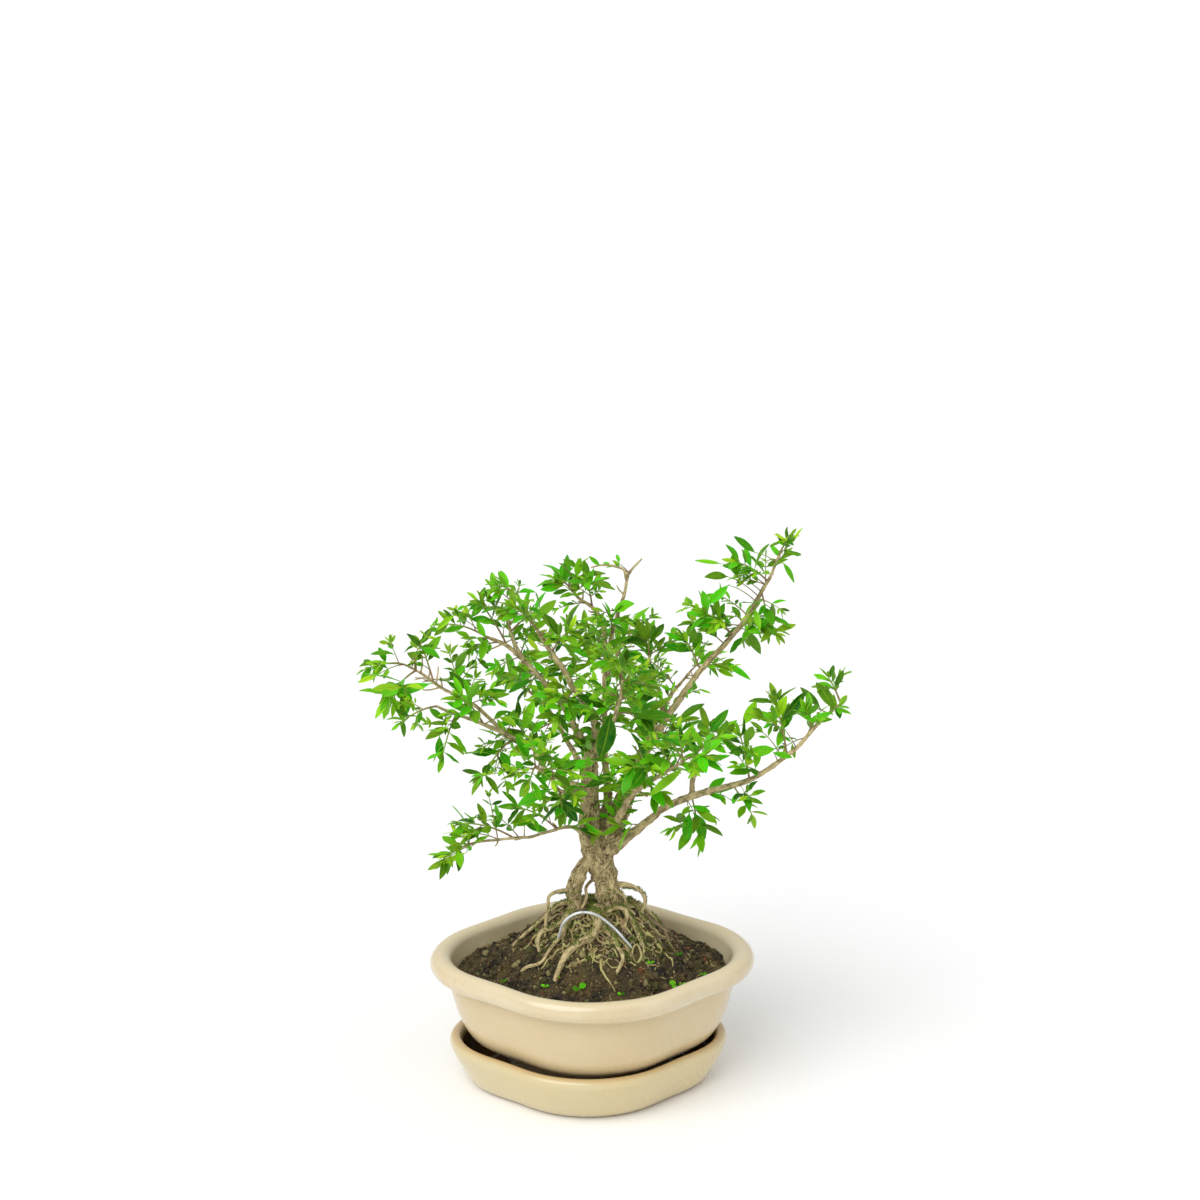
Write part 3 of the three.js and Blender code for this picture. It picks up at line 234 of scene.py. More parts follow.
# Short shoots close by the limbs, in the same form
SHOOTS = (
    ("back_left", 3.8, (-34, 71, 205), 0.82), ("crown_stem", 5.4, (2, 4, 251), 0.68),
    ("crown_stem", 4, (17, 19, 237), 0.82), ("front_left", 3.8, (-55, -71, 194), 0.68),
    ("front_left", 4, (-32, -77, 214), 0.68), ("front_left", 2.2, (-29, -42, 173), 0.62),
    ("front_left", 1.2, (-4, -26, 182), 0.62), ("front_left", 2.6, (-11, -53, 177), 0.82),
    ("front_left", 0, (-13, 0, 152), 0.82), ("front_left", 0, (6, 0, 166), 0.75),
    ("front_left", 2.2, (-25, -44, 189), 0.9), ("front_left", 3.6, (-14, -71, 195), 0.9),
    ("front_left", 1.6, (-18, -39, 187), 0.75), ("front_left", 3.8, (-24, -68, 210), 0.68),
    ("front_right", 3, (25, -59, 203), 0.68), ("front_right", 2.4, (35, -39, 192), 0.9),
    ("front_right", 3, (44, -69, 198), 0.82), ("front_right", 1.6, (13, -41, 185), 0.82),
    ("front_right", 0.6, (23, -17, 166), 0.9), ("front_right", 4, (31, -66, 211), 0.82),
    ("front_right", 4, (37, -77, 218), 0.75), ("front_right", 3.6, (44, -66, 208), 0.9),
    ("front_right", 2.2, (23, -46, 194), 0.68), ("front_right", 1, (19, -32, 181), 0.62),
    ("front_right", 1, (9, -24, 176), 0.9), ("front_right", 0, (13, 1, 153), 0.9),
    ("front_right", 0.2, (20, -8, 156), 0.75), ("front_up", 4, (2, -62, 250), 0.9),
    ("front_up", 2.6, (14, -56, 234), 0.75), ("front_up", 3.8, (22, -62, 244), 0.9),
    ("front_up", 3, (22, -61, 231), 0.68), ("front_up", 1.8, (20, -32, 202), 0.62),
    ("front_up", 4, (-1, -71, 247), 0.68), ("front_up", 2.6, (10, -46, 232), 0.68),
    ("front_up", 3.2, (22, -49, 232), 0.9), ("front_up", 1.6, (-5, -37, 216), 0.82),
    ("leader", 4.2, (-22, -1, 241), 0.82), ("leader", 3.4, (0, -23, 224), 0.9),
    ("leader", 0, (-5, -3, 185), 0.9), ("leader", 3, (-17, -6, 228), 0.62),
    ("leader", 1.8, (-17, -17, 204), 0.75), ("leader", 6, (-35, -4, 259), 0.82),
    ("leader", 2.2, (8, -21, 215), 0.82), ("leader", 2.6, (-9, -3, 227), 0.68),
    ("leader", 1.4, (14, -15, 204), 0.68), ("leader", 2.6, (-17, -18, 212), 0.75),
    ("leader", 2.6, (-17, -4, 219), 0.9), ("leader", 4, (-27, -4, 236), 0.9),
    ("leader", 5, (-12, -15, 241), 0.68), ("leader", 0.4, (2, 2, 192), 0.62),
    ("left_far", 5.6, (-79, 15, 245), 0.62), ("left_far", 4.2, (-68, -4, 219), 0.9),
    ("left_far", 0, (-35, -11, 206), 0.62), ("left_far", 1.6, (-48, -15, 214), 0.68),
    ("left_far", 2, (-51, -2, 214), 0.75), ("left_far", 1.8, (-59, -10, 224), 0.82),
    ("left_high", 4.6, (-62, 18, 236), 0.68), ("left_high", 5, (-59, 26, 223), 0.75),
    ("left_high", 3.6, (-42, 35, 237), 0.82), ("left_high", 2.2, (-32, 28, 224), 0.82),
    ("left_high", 2.6, (-42, 11, 216), 0.75), ("left_high", 1.4, (-26, 13, 210), 0.75),
    ("left_high", 1.4, (-27, 3, 206), 0.82), ("left_high", 0.4, (-11, 13, 194), 0.62),
    ("left_high", 4.2, (-32, 31, 234), 0.68), ("left_high", 3.4, (-48, 16, 222), 0.75),
    ("left_high", 0.4, (-19, 2, 192), 0.68), ("left_low", 4.2, (-53, -17, 165), 0.62),
    ("left_low", 4.2, (-63, -30, 149), 0.9), ("left_low", 5, (-75, -37, 138), 0.75),
    ("left_low", 3.4, (-47, -12, 150), 0.9), ("left_low", 1.2, (1, -6, 138), 0.75),
    ("left_low", 1.8, (-4, -21, 150), 0.75), ("left_mid", 5.6, (-43, -18, 206), 0.82),
    ("left_mid", 4.2, (-55, -22, 192), 0.82), ("left_mid", 3, (-45, -16, 188), 0.68),
    ("left_mid", 2.8, (-41, -6, 193), 0.68), ("left_mid", 3.4, (-49, -17, 193), 0.75),
    ("left_mid", 5.8, (-67, -16, 213), 0.82), ("left_peak", 2.2, (-56, 18, 254), 0.9),
    ("left_peak", 2.6, (-50, 33, 259), 0.75), ("left_peak", 2.4, (-36, 19, 264), 0.82),
    ("left_peak", 0, (-22, 13, 223), 0.68), ("right_fill", 2, (57, -16, 192), 0.75),
    ("right_fill", 2.8, (67, -10, 194), 0.68), ("right_low", 1.8, (13, -10, 144), 0.82),
    ("right_low", 7.2, (85, -14, 195), 0.82), ("right_low", 8.2, (97, -12, 186), 0.68),
    ("right_low", 6.4, (71, -31, 184), 0.62), ("right_low", 9, (108, -2, 205), 0.9),
    ("right_low", 8.2, (114, -7, 201), 0.9), ("right_low", 8.8, (123, -19, 209), 0.9),
    ("right_low", 4.2, (65, -18, 163), 0.82), ("right_mid", 2, (37, 22, 229), 0.62),
    ("right_mid", 3, (45, 24, 233), 0.75), ("right_mid", 0.8, (34, 6, 219), 0.75),
    ("right_mid", 0.2, (41, 7, 211), 0.9), ("right_mid", 1.6, (21, 2, 225), 0.62),
    ("right_mid", 1.8, (30, 21, 228), 0.82), ("right_mid", 1.4, (37, 3, 227), 0.68),
    ("right_up", 3.8, (48, 4, 196), 0.9), ("right_up", 6.8, (53, 19, 244), 0.75),
    ("right_up", 7.2, (51, 25, 251), 0.9), ("right_up", 7.6, (62, 3, 246), 0.75),
    ("right_up", 8, (65, 22, 257), 0.62), ("right_up", 9.4, (73, -1, 272), 0.62),
    ("right_up", 9.4, (89, 16, 276), 0.75), ("right_up", 10, (97, 4, 283), 0.9),
    ("right_up", 7.4, (85, 1, 251), 0.82), ("right_up", 7.8, (92, -3, 243), 0.9),
    ("right_up", 5.8, (70, 1, 224), 0.68), ("right_up", 4.6, (55, 4, 212), 0.68),
    ("right_up", 2.8, (30, 4, 192), 0.68), ("right_up", 0.6, (7, 4, 152), 0.62),
    ("top_mid", 2.6, (-16, 15, 253), 0.62), ("top_mid", 2.8, (-14, 21, 264), 0.82),
    ("top_mid", 3.8, (-6, 20, 273), 0.82), ("top_mid", 3.6, (3, 31, 263), 0.9),
    ("top_mid", 0.2, (-4, 17, 235), 0.62), ("top_mid", 1, (-5, 22, 242), 0.75),
    ("top_mid", 0, (5, 13, 239), 0.9),
)

# Leaves that stand out, as (limb, how many of its points along it, foot, tip, width, how bright, how young)
SINGLE_LEAVES = (
    ("crown_stem", 5.6, (11, 8, 253), (21.5, 6, 257.5), 6.2, 0.45, 0),
    ("crown_stem", 0.6, (8, 2.5, 141), (20.5, 0.5, 134.5), 5.2, 0.4, 0),
    ("crown_stem", 0.6, (3, 3, 141), (-0.5, 1, 132), 4.2, 0.3, 0),
    ("crown_stem", 3, (3.5, 13.5, 204), (-11, 11.5, 198.5), 4.7, 0.5, 0),
    ("crown_stem", 7, (4.5, 7.5, 276.5), (-1, 7.5, 282), 2.1, 0.5, 0.3),
    ("crown_stem", 7, (10.5, 8, 279.5), (14.5, 8, 276.5), 2.1, 0.5, 0.3),
    ("front_left", 2.8, (-23.5, -54.5, 180.5), (-39.5, -56.5, 174), 4.7, 0.5, 0.1),
    ("front_left", 1, (-5.5, -21, 169), (12, -23, 176.5), 4.7, 0.3, 0),
    ("front_left", 2, (-17.5, -41.5, 170), (-14.5, -43.5, 161), 4.7, 0.35, 0),
    ("front_right", 3.4, (41.5, -63.5, 193.5), (24, -65.5, 180.5), 4.7, 0.9, 0.2),
    ("front_right", 3.6, (42, -66, 194.5), (62.5, -68, 203.5), 4.2, 0.7, 0.1),
    ("front_right", 3, (38, -57.5, 192.5), (16.5, -59.5, 196.5), 3.6, 0.5, 0),
    ("front_up", 2, (7.5, -36.5, 213.5), (5, -38.5, 189.5), 9.4, 0.3, 0),
    ("front_up", 3.2, (20.5, -57, 226), (27.5, -59, 230.5), 4.2, 0.2, 0),
    ("left_far", 3.4, (-80.5, -7.5, 221), (-103.5, -9.5, 214.5), 5.2, 0.45, 0),
    ("left_far", 6, (-101.5, -2, 230), (-114, -2, 231), 2.6, 0.7, 0.4),
    ("left_far", 6, (-107.5, -4, 224.5), (-118, -4, 220.5), 2.6, 0.8, 0.5),
    ("left_far", 5.4, (-86, 0, 237.5), (-76, -2, 233), 4.2, 0.35, 0),
    ("left_high", 0.6, (-11, 4.5, 187.5), (5.5, 2.5, 177), 6.2, 0.45, 0),
    ("left_high", 1.6, (-23.5, 11, 205.5), (-22, 9, 194), 3.6, 0.4, 0),
    ("left_high", 5, (-69, 26.5, 247), (-80, 24.5, 240.5), 3.1, 0.8, 0.4),
    ("left_low", 5, (-64, -36, 141.5), (-77.5, -38, 135), 3.1, 0.9, 0.4),
    ("left_low", 3.2, (-35.5, -22.5, 151.5), (-24, -24.5, 147), 3.6, 0.5, 0),
    ("left_mid", 7.4, (-76.5, -30.5, 201), (-77.5, -32.5, 188), 4.2, 0.3, 0),
    ("left_mid", 1.6, (-15.5, -9, 176), (0.5, -11, 179), 4.7, 0.4, 0),
    ("left_peak", 2.4, (-53.5, 20, 256.5), (-61.5, 18, 251.5), 3.1, 0.6, 0.2),
    ("right_fill", 3, (76, -5, 195.5), (84, -7, 208), 4.7, 1, 0.5),
    ("right_fill", 2.8, (54.5, -6, 187.5), (38, -8, 192), 4.2, 0.5, 0),
    ("right_low", 7.8, (91.5, -15, 201.5), (96.5, -17, 214.5), 4.7, 1, 0.6),
    ("right_low", 3.8, (48, -23.5, 156), (45.5, -25.5, 141), 6.2, 0.25, 0),
    ("right_low", 3.8, (50, -24, 156), (57.5, -26, 142.5), 6.2, 0.4, 0),
    ("right_low", 5.6, (75, -25.5, 168), (78, -25.5, 157), 2.6, 0.3, 0),
    ("right_low", 7, (90, -20, 186), (99.5, -22, 183), 3.1, 0.6, 0.1),
    ("right_low", 9, (121.5, -17.5, 209), (124, -19.5, 203), 4.2, 0.6, 0.1),
    ("right_up", 6.2, (66.5, 6.5, 226.5), (82, 4.5, 218), 3.1, 0.5, 0.1),
    ("right_up", 8.4, (83, 2, 251), (93, 0, 241.5), 5.2, 0.3, 0),
    ("right_up", 8.6, (69.5, 6.5, 266.5), (59, 4.5, 256), 4.7, 0.9, 0.2),
    ("right_up", 10.6, (82, 1, 284), (71, -1, 293), 3.6, 0.4, 0),
    ("right_up", 9.4, (65.5, 6, 277.5), (52, 6, 279.5), 2.6, 0.6, 0.1),
    ("right_up", 8.8, (69, 6.5, 270.5), (57, 4.5, 272.5), 4.2, 0.4, 0),
    ("right_up", 9, (73.5, 5, 270.5), (71, 3, 283.5), 5.7, 0.85, 0.3),
    ("right_up", 10.4, (95.5, -1, 279.5), (102.5, -3, 270), 3.1, 0.4, 0),
    ("right_up", 11, (99, -1.5, 288), (104, -1.5, 298), 1.6, 0.8, 1),
    ("right_up", 11, (97.5, -1, 290.5), (91, -1, 294.5), 1.6, 0.8, 1),
    ("right_up", 11, (98, -0.5, 292), (94, -0.5, 289.5), 1.6, 0.8, 1),
    ("top_mid", 4, (-7, 19, 268), (-5.5, 17, 278.5), 4.7, 0.6, 0.1),
    ("top_mid", 0, (4.5, 13.5, 231), (-3, 11.5, 222), 3.6, 0.5, 0.1),
)

# Leaf pairs along a shoot as shares of its length, and how each leaf stands: its pair, the side of
# the shoot that it grows from, how far it opens from the shoot in degrees, and its size
LEAF_NODES = (0.32, 0.54, 0.76, 0.95)
LEAF_PLACES = ((1, 0, 56, 1.05), (1, 2, 60, 1.1), (2, 3, 52, 1.05), (2, 1, 54, 1.0), (3, 0, 58, 0.85),
    (3, 2, 56, 0.9))
TIP_OPENING, TIP_SIZE = 6, 0.7

# Shares of a grown leaf's length that the leaves in the extra pairs reach, and how far these open
PAIR_LENGTHS, PAIR_OPENING = (0.36, 0.46, 0.58, 0.72, 0.96), (36, 74)

# Seedlings as (x, y, size)
SEEDLINGS = ((-9, -46, 4.6), (39, -39, 4.4), (-26, -38, 2.4), (-20, -36, 2.2), (28, -30, 2.2), (44, -34, 2.4),
    (44, -12, 2.2), (-47, -24, 2.0), (56, -20, 1.8), (12, -48, 2.0))

# ---- camera, lights and draws

# Focal length and sensor in millimetres, place in metres, dip and swing in radians
CAMERA_LENS, CAMERA_SENSOR = 65.224, 36.0
CAMERA_PLACE = (-0.045715, -1.052018, 0.538197)
CAMERA_DIP, CAMERA_SWING = 0.25743, -0.04723

# Where each light comes from, and how many degrees it spreads over
KEY_LIGHT = ((-0.75, -0.9, 1.25), 50)
FILL_LIGHT = ((0.9, -0.5, 0.9), 70)

# Heights in metres from which rays look down on the soil, and below the crown on soil and wood
ABOVE_ALL, BELOW_CROWN = 0.3, 0.108

TWIG_COUNT, HAIR_FURROWS = 96, 0.0002  # bare twigs, and the furrows of thin roots in metres

# Seeds of the repeatable draws
CRUMB_SEED, GRAIN_SEED, TWIG_SEED, HAIR_ROOT_SEED, YOUNG_ROOT_SEED, MOSS_SEED = 5, 6, 61, 11, 19, 23
SPRAY_SEED, LESSER_SPRAY_SEED, SEEDLING_SEED, LITTER_SEED = 101, 7001, 77, 41

# Colours that no setting changes, as numbers from 0 to 255
# The pot rim's top colour is painted light from above, with warmer thin glaze.
WARM_LIT_RIM, POT_CREASE, THIN_TRAY_GLAZE = (224, 206, 170), (204, 182, 138), (206, 188, 142)
WORN_LIP, TRAY_FOOT = (198, 172, 124), (190, 170, 126)
GLAZE_SPECK, GLAZE_SMEAR = (96, 66, 38), (132, 92, 52)
MOSS_STAIN, RUSTY_CRUMB, YELLOW_MOSS = (70, 78, 26), (128, 62, 30), (176, 176, 96)
BROWN_SCALE, PALE_FLECK, DRY_MOSS = (120, 92, 58), (216, 200, 158), (150, 150, 78)
TWIG_BROWN, TWIG_STREAK, SHOOT_GREEN = (128, 98, 70), (150, 122, 88), (140, 172, 60)
ROOT_FOOT, ROOT_TIP = (170, 154, 98), (192, 192, 122)
WIRE_SMUDGE, LITTER_STREAK = (170, 172, 168), (70, 50, 34)
ORANGE_BARK, PALE_SPLINTER, STRAW = (164, 84, 44), (236, 228, 214), (186, 166, 112)

# Bits that stand out on the soil as (x, y, half length, half width, turn, colour)
SLIVERS = ((-21.5, -21, 1.3, 1.1, 0.3, PALE_SPLINTER), (48, 1, 3.6, 1.1, 0.1, ORANGE_BARK),
    (-18, -37, 2.2, 0.9, 0.4, ORANGE_BARK), (59, 0, 2.0, 0.8, 1.2, ORANGE_BARK),
    (-14.5, -45, 3.8, 0.45, 0.35, PALE_SPLINTER), (-2, -43, 3.6, 0.2, 1.25, STRAW),
    (-62, -8, 1.8, 0.7, 1.0, ORANGE_BARK), (14, -36, 2.0, 0.7, 0.7, ORANGE_BARK),
    (30, 20, 2.6, 0.9, 0.3, ORANGE_BARK), (-34, 12, 2.4, 0.8, 1.9, ORANGE_BARK))


def roll(number):
    """The part's own repeatable draw between 0 and 1."""
    value = math.sin(number * 12.9898) * 43758.5453
    return value - math.floor(value)


def plan_point(half_length, half_depth, angle):
    """One point of the four-lobed oval plan shared by pot, soil and tray."""
    turned = angle - 0.21 * math.sin(2 * angle)
    across, along = abs(math.cos(turned)), abs(math.sin(turned))
    reach = (across**1.75 + along**1.75) ** (-1 / 1.75)
    lobe = (1 + 0.028 * math.cos(4 * turned) - 0.01 * math.cos(8 * turned)) / 1.018
    return half_length * reach * lobe * math.cos(turned), half_depth * reach * lobe * math.sin(turned)


def soil_height(x, y):
    """Height of the soil: level by the wall and steep round the trunk, with clods all over."""
    from_trunk = np.hypot(x - MOUND_CENTRE_X, y) / MOUND_RADIUS
    clods = 0.8 * np.sin(0.31 * x + 1.3) * np.cos(0.27 * y - 0.4) + 0.5 * np.sin(0.83 * x + 0.61 * y)
    return SOIL_LEVEL + MOUND_RISE * np.exp(-(from_trunk**2.6)) + clods


def unit(vector):
    """The vector at length 1."""
    return vector / (np.linalg.norm(vector) + 1e-12)


def turned(vector, axis, angle):
    """The vector turned about a unit axis."""
    across = np.cross(axis, vector)
    part_along = axis * np.dot(axis, vector) * (1 - math.cos(angle))
    return vector * math.cos(angle) + across * math.sin(angle) + part_along


def smooth_run(points, step):
    """Points about a step apart on a smooth curve through the given ones, with their radius."""
    data = np.array(points, float)
    gaps = np.linalg.norm(np.diff(data[:, :3], axis=0), axis=1)
    slopes = np.diff(data, axis=0) / gaps[:, None]
    tangents = np.vstack([slopes[:1], (slopes[1:] * gaps[:-1, None] + slopes[:-1] * gaps[1:, None])
        / (gaps[1:] + gaps[:-1])[:, None], slopes[-1:]])
    run = []
    for number, gap in enumerate(gaps):
        for share in np.linspace(0, 1, max(2, math.ceil(gap / step)), endpoint=False):
            square, cube = share**2, share**3
            run.append(data[number] * (2 * cube - 3 * square + 1)
                + tangents[number] * gap * (cube - 2 * square + share)
                + data[number + 1] * (3 * square - 2 * cube) + tangents[number + 1] * gap * (cube - square))
    return np.array(run + [data[-1]])


def smooth_outline(outline, step):
    """Points about a step apart on a smooth line through a section's (out, height) points."""
    return smooth_run([(out, 0, height, 1) for out, height in outline], step)[:, (0, 2)]


def lengths_along(run):
    """How far each point of a run lies along it."""
    return np.concatenate([[0], np.cumsum(np.linalg.norm(np.diff(run[:, :3], axis=0), axis=1))])


def spot_on(curve, place):
    """The point that lies so many of a curve's points along it, and the curve's heading there."""
    first = min(int(place), len(curve) - 2)
    step = curve[first + 1] - curve[first]
    return curve[first] + step * (place - first), unit(step)


def limb_point(limb, at):
    """The place on a limb that lies so many of its points along."""
    return spot_on(np.array(LIMBS[limb], float)[:, :3], at)[0]


def crooked(run, sway, reach, seed):
    """The run with a natural sway to its line, fading to none at both ends."""
    out = run.copy()
    along = lengths_along(run)
    ease = np.clip(np.minimum(along, along[-1] - along) / 8, 0, 1)
    for axis in range(3):
        wave = [noise.noise((distance / reach, seed * 7.3, axis * 11.1)) for distance in along]
        out[:, axis] += np.array(wave) * ease * (sway + 0.2 * run[:, 3])
    return out


# ---- objects and meshes


def deselect():
    """Leaves no object selected."""
    for obj in bpy.context.selected_objects:
        obj.select_set(False)


def only(obj):
    """Makes this object the active one and the only one selected."""
    deselect()
    obj.select_set(True)
    bpy.context.view_layer.objects.active = obj
    return obj


def apply_modifier(obj, kind, **settings):
    """Adds a modifier, sets it and applies it."""
    only(obj)
    modifier = obj.modifiers.new(kind.title(), kind)
    for key, value in settings.items():
        setattr(modifier, key, value)
    bpy.ops.object.modifier_apply(modifier=modifier.name)
    return obj


def rough_texture(name, kind, scale, **settings):
    """A noise texture for a displace modifier."""
    texture = bpy.data.textures.new(name, kind)
    texture.noise_scale = scale
    for key, value in settings.items():
        setattr(texture, key, value)
    return texture


def points_of(obj):
    """The vertices of a mesh object in millimetres."""
    points = np.empty(len(obj.data.vertices) * 3)
    obj.data.vertices.foreach_get("co", points)
    return points.reshape(-1, 3) / MM


def set_points(obj, points):
    """Moves the vertices of a mesh object to points in millimetres."""
    obj.data.vertices.foreach_set("co", (np.asarray(points) * MM).ravel())
    obj.data.update()


def normals_of(obj):
    """The normal at every vertex."""
    normals = np.empty(len(obj.data.vertices) * 3)
    obj.data.vertices.foreach_get("normal", normals)
    return normals.reshape(-1, 3)


def faces_of(obj):
    """The corners of every face."""
    return [tuple(face.vertices) for face in obj.data.polygons]


def set_marks(obj, name, values):
    """A vector on every vertex, which the piece's material reads."""
    attribute = obj.data.attributes.new(name, "FLOAT_VECTOR", "POINT")
    attribute.data.foreach_set("vector", np.asarray(values, np.float32).ravel())


def mesh_piece(name, points, faces):
    """A new mesh object from points in millimetres."""
    mesh = bpy.data.meshes.new(name)
    mesh.from_pydata((np.asarray(points) * MM).tolist(), [], faces)
    obj = bpy.data.objects.new(name, mesh)
    bpy.context.scene.collection.objects.link(obj)
    return only(obj)


def copies(name, patterns, places):
    """One mesh of many copies: each place gives a pattern's number, a 3x3 matrix, a middle and its marks."""
    points, faces, marks, first = [], [], [], 0
    for number, matrix, middle, mark in places:
        pattern_points, pattern_faces = patterns[number]
        points.append(pattern_points @ matrix.T + middle)
        faces += [tuple(corner + first for corner in face) for face in pattern_faces]
        marks.append(np.tile(mark, (len(pattern_points), 1)))
        first += len(pattern_points)
    obj = mesh_piece(name, np.vstack(points), faces)
    set_marks(obj, "tone", np.vstack(marks))
    return obj


def joined(obj, *others):
    """The other objects joined into the first."""
    only(obj)
    for other in others:
        other.select_set(True)
    bpy.ops.object.join()
    return obj


def tubes(name, runs, sides):
    """One mesh of closed round tubes along runs of [x, y, z, radius], drawn as bevelled curves."""
    curve = bpy.data.curves.new(name, "CURVE")
    curve.dimensions = "3D"
    curve.bevel_depth = MM
    curve.bevel_resolution = sides // 2 - 2
    curve.use_fill_caps = True
    for run in runs:
        line = curve.splines.new("POLY")
        line.points.add(len(run) - 1)
        line.points.foreach_set("co", np.hstack([run[:, :3] * MM, np.ones((len(run), 1))]).ravel())
        line.points.foreach_set("radius", run[:, 3])
    obj = bpy.data.objects.new(name, curve)
    bpy.context.scene.collection.objects.link(obj)
    only(obj)
    bpy.ops.object.convert(target="MESH")
    obj = bpy.context.object
    bpy.ops.object.mode_set(mode="EDIT")
    bpy.ops.mesh.select_all(action="SELECT")
    bpy.ops.mesh.remove_doubles(threshold=1e-6)
    bpy.ops.mesh.normals_make_consistent(inside=False)
    bpy.ops.object.mode_set(mode="OBJECT")
    return obj


def finish(obj, material, slot, *nodes, smooth_angle=180):
    """Shades a piece, gives it its finish and lets it ride on the frame."""
    only(obj)
    bpy.ops.object.shade_smooth_by_angle(angle=math.radians(smooth_angle))
    if material:
        obj.data.materials.clear()
        obj.data.materials.append(material)
    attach(obj, "root")
    if nodes:
        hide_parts(*nodes)
    deselect()
    return obj


def lobed_body(name, levels, sides):
    """A closed lobed body, extruded ring by ring through [half length, half depth, height]."""
    deselect()
    bpy.ops.mesh.primitive_circle_add(vertices=sides, radius=MM, fill_type="NOTHING")
    obj = bpy.context.object
    obj.name = name
    half_length, half_depth, height = levels[0]
    for number, vertex in enumerate(obj.data.vertices):
        x, y = plan_point(half_length, half_depth, 2 * math.pi * number / sides)
        vertex.co = (x * MM, y * MM, height * MM)
    bpy.ops.object.mode_set(mode="EDIT")
    bpy.ops.mesh.select_mode(type="EDGE")
    bpy.ops.mesh.select_all(action="SELECT")
    bpy.ops.mesh.edge_face_add()
    for before, after in zip(levels, levels[1:]):
        bpy.ops.mesh.extrude_edges_indiv()
        size = (after[0] / before[0], after[1] / before[1], 1)
        bpy.ops.transform.resize(value=size, center_override=(0, 0, 0))
        bpy.ops.transform.translate(value=(0, 0, (after[2] - before[2]) * MM))
    bpy.ops.mesh.edge_face_add()
    bpy.ops.mesh.select_all(action="SELECT")
    bpy.ops.mesh.normals_make_consistent(inside=False)
    bpy.ops.object.mode_set(mode="OBJECT")
    return obj


# ---- finishes


def node(tree, kind, inputs=None, **settings):
    """Adds a shader node; an input that is a socket is linked, and any other is its value."""
    made = tree.nodes.new(kind)
    for key, value in settings.items():
        setattr(made, key, value)
    for key, value in (inputs or {}).items():
        if isinstance(value, bpy.types.NodeSocket):
            tree.links.new(value, made.inputs[key])
        else:
            made.inputs[key].default_value = value
    return made


def colour(red, green, blue):
    """A linear colour from the usual 0 to 255 numbers."""
    return tuple((part / 255) ** 2.2 for part in (red, green, blue)) + (1.0,)


def blend(tree, share, first, second):
    """Mixes two colours: all the first at share 0, all the second at 1."""
    return node(tree, "ShaderNodeMix", {0: share, 6: first, 7: second}, data_type="RGBA").outputs[2]


def reach(tree, value, low, high, to_low=0.0, to_high=1.0):
    """Maps a value from one span to another, held at both ends."""
    inputs = {"Value": value, "From Min": low, "From Max": high, "To Min": to_low, "To Max": to_high}
    return node(tree, "ShaderNodeMapRange", inputs).outputs["Result"]


def figure(tree, operation, first, second=0.0):
    """One step of arithmetic on values."""
    return node(tree, "ShaderNodeMath", {0: first, 1: second}, operation=operation).outputs[0]


def times(tree, first, second):
    """Two values multiplied."""
    return figure(tree, "MULTIPLY", first, second)


def effect_group(name, **settings):
    """An empty node group that takes a vector and these settings, with the ends of its input and output."""
    group = bpy.data.node_groups.new(name, "ShaderNodeTree")
    group.interface.new_socket("Vector", in_out="INPUT", socket_type="NodeSocketVector")
    for key, value in settings.items():
        made = group.interface.new_socket(key.title(), in_out="INPUT", socket_type="NodeSocketFloat")
        made.default_value = value
    group.interface.new_socket("Value", in_out="OUTPUT", socket_type="NodeSocketFloat")
    return group, group.nodes.new("NodeGroupInput").outputs, group.nodes.new("NodeGroupOutput").inputs[0]


def mottle_group():
    """Soft cloudy variation at two scales."""
    group, given, wanted = effect_group("Mottle", coarse=40.0, fine=400.0)
    place = given["Vector"]
    coarse = node(group, "ShaderNodeTexNoise", {"Vector": place, "Scale": given["Coarse"], "Detail": 3.0})
    fine = node(group, "ShaderNodeTexNoise", {"Vector": place, "Scale": given["Fine"], "Detail": 4.0})
    both = figure(group, "ADD", times(group, coarse.outputs[0], 0.62), times(group, fine.outputs[0], 0.38))
    group.links.new(both, wanted)


def speck_group():
    """Sparse round specks: a mask that is 1 in a speck, for a share of the cells."""
    group, given, wanted = effect_group("Specks", scale=100.0, share=0.1, size=0.12)
    cells = node(group, "ShaderNodeTexVoronoi", {"Vector": given["Vector"], "Scale": given["Scale"]})
    dice = node(group, "ShaderNodeSeparateColor", {0: cells.outputs["Color"]})
    picked = figure(group, "LESS_THAN", dice.outputs[0], given["Share"])
    size = times(group, given["Size"], figure(group, "ADD", dice.outputs[1], 0.35))
    edge = figure(group, "SUBTRACT", 1.0, figure(group, "DIVIDE", cells.outputs["Distance"], size))
    soft = times(group, figure(group, "MAXIMUM", edge, 0.0), 3.0)
    group.links.new(times(group, figure(group, "MINIMUM", soft, 1.0), picked), wanted)


def grain_group():
    """Streaks that run along a limb, from the limb's own marks."""
    group, given, wanted = effect_group("Limb grain", scale=1.0, stretch=0.15)
    stretch = node(group, "ShaderNodeCombineXYZ", {0: 1.0, 1: 1.0, 2: given["Stretch"]}).outputs[0]
    along = node(group, "ShaderNodeVectorMath", {0: given["Vector"], 1: stretch}, operation="MULTIPLY")
    streaks = node(group, "ShaderNodeTexNoise", {"Vector": along.outputs[0], "Scale": given["Scale"],
        "Detail": 5.0, "Roughness": 0.65})
    group.links.new(streaks.outputs[0], wanted)


EFFECTS = {"Mottle": mottle_group, "Specks": speck_group, "Limb grain": grain_group}


def effect(tree, name, vector, **settings):
    """What a node group gives for a vector; the group is made when it is first wanted."""
    if name not in bpy.data.node_groups:
        EFFECTS[name]()
    inputs = {"Vector": vector, **{key.title(): value for key, value in settings.items()}}
    return node(tree, "ShaderNodeGroup", inputs, node_tree=bpy.data.node_groups[name]).outputs[0]


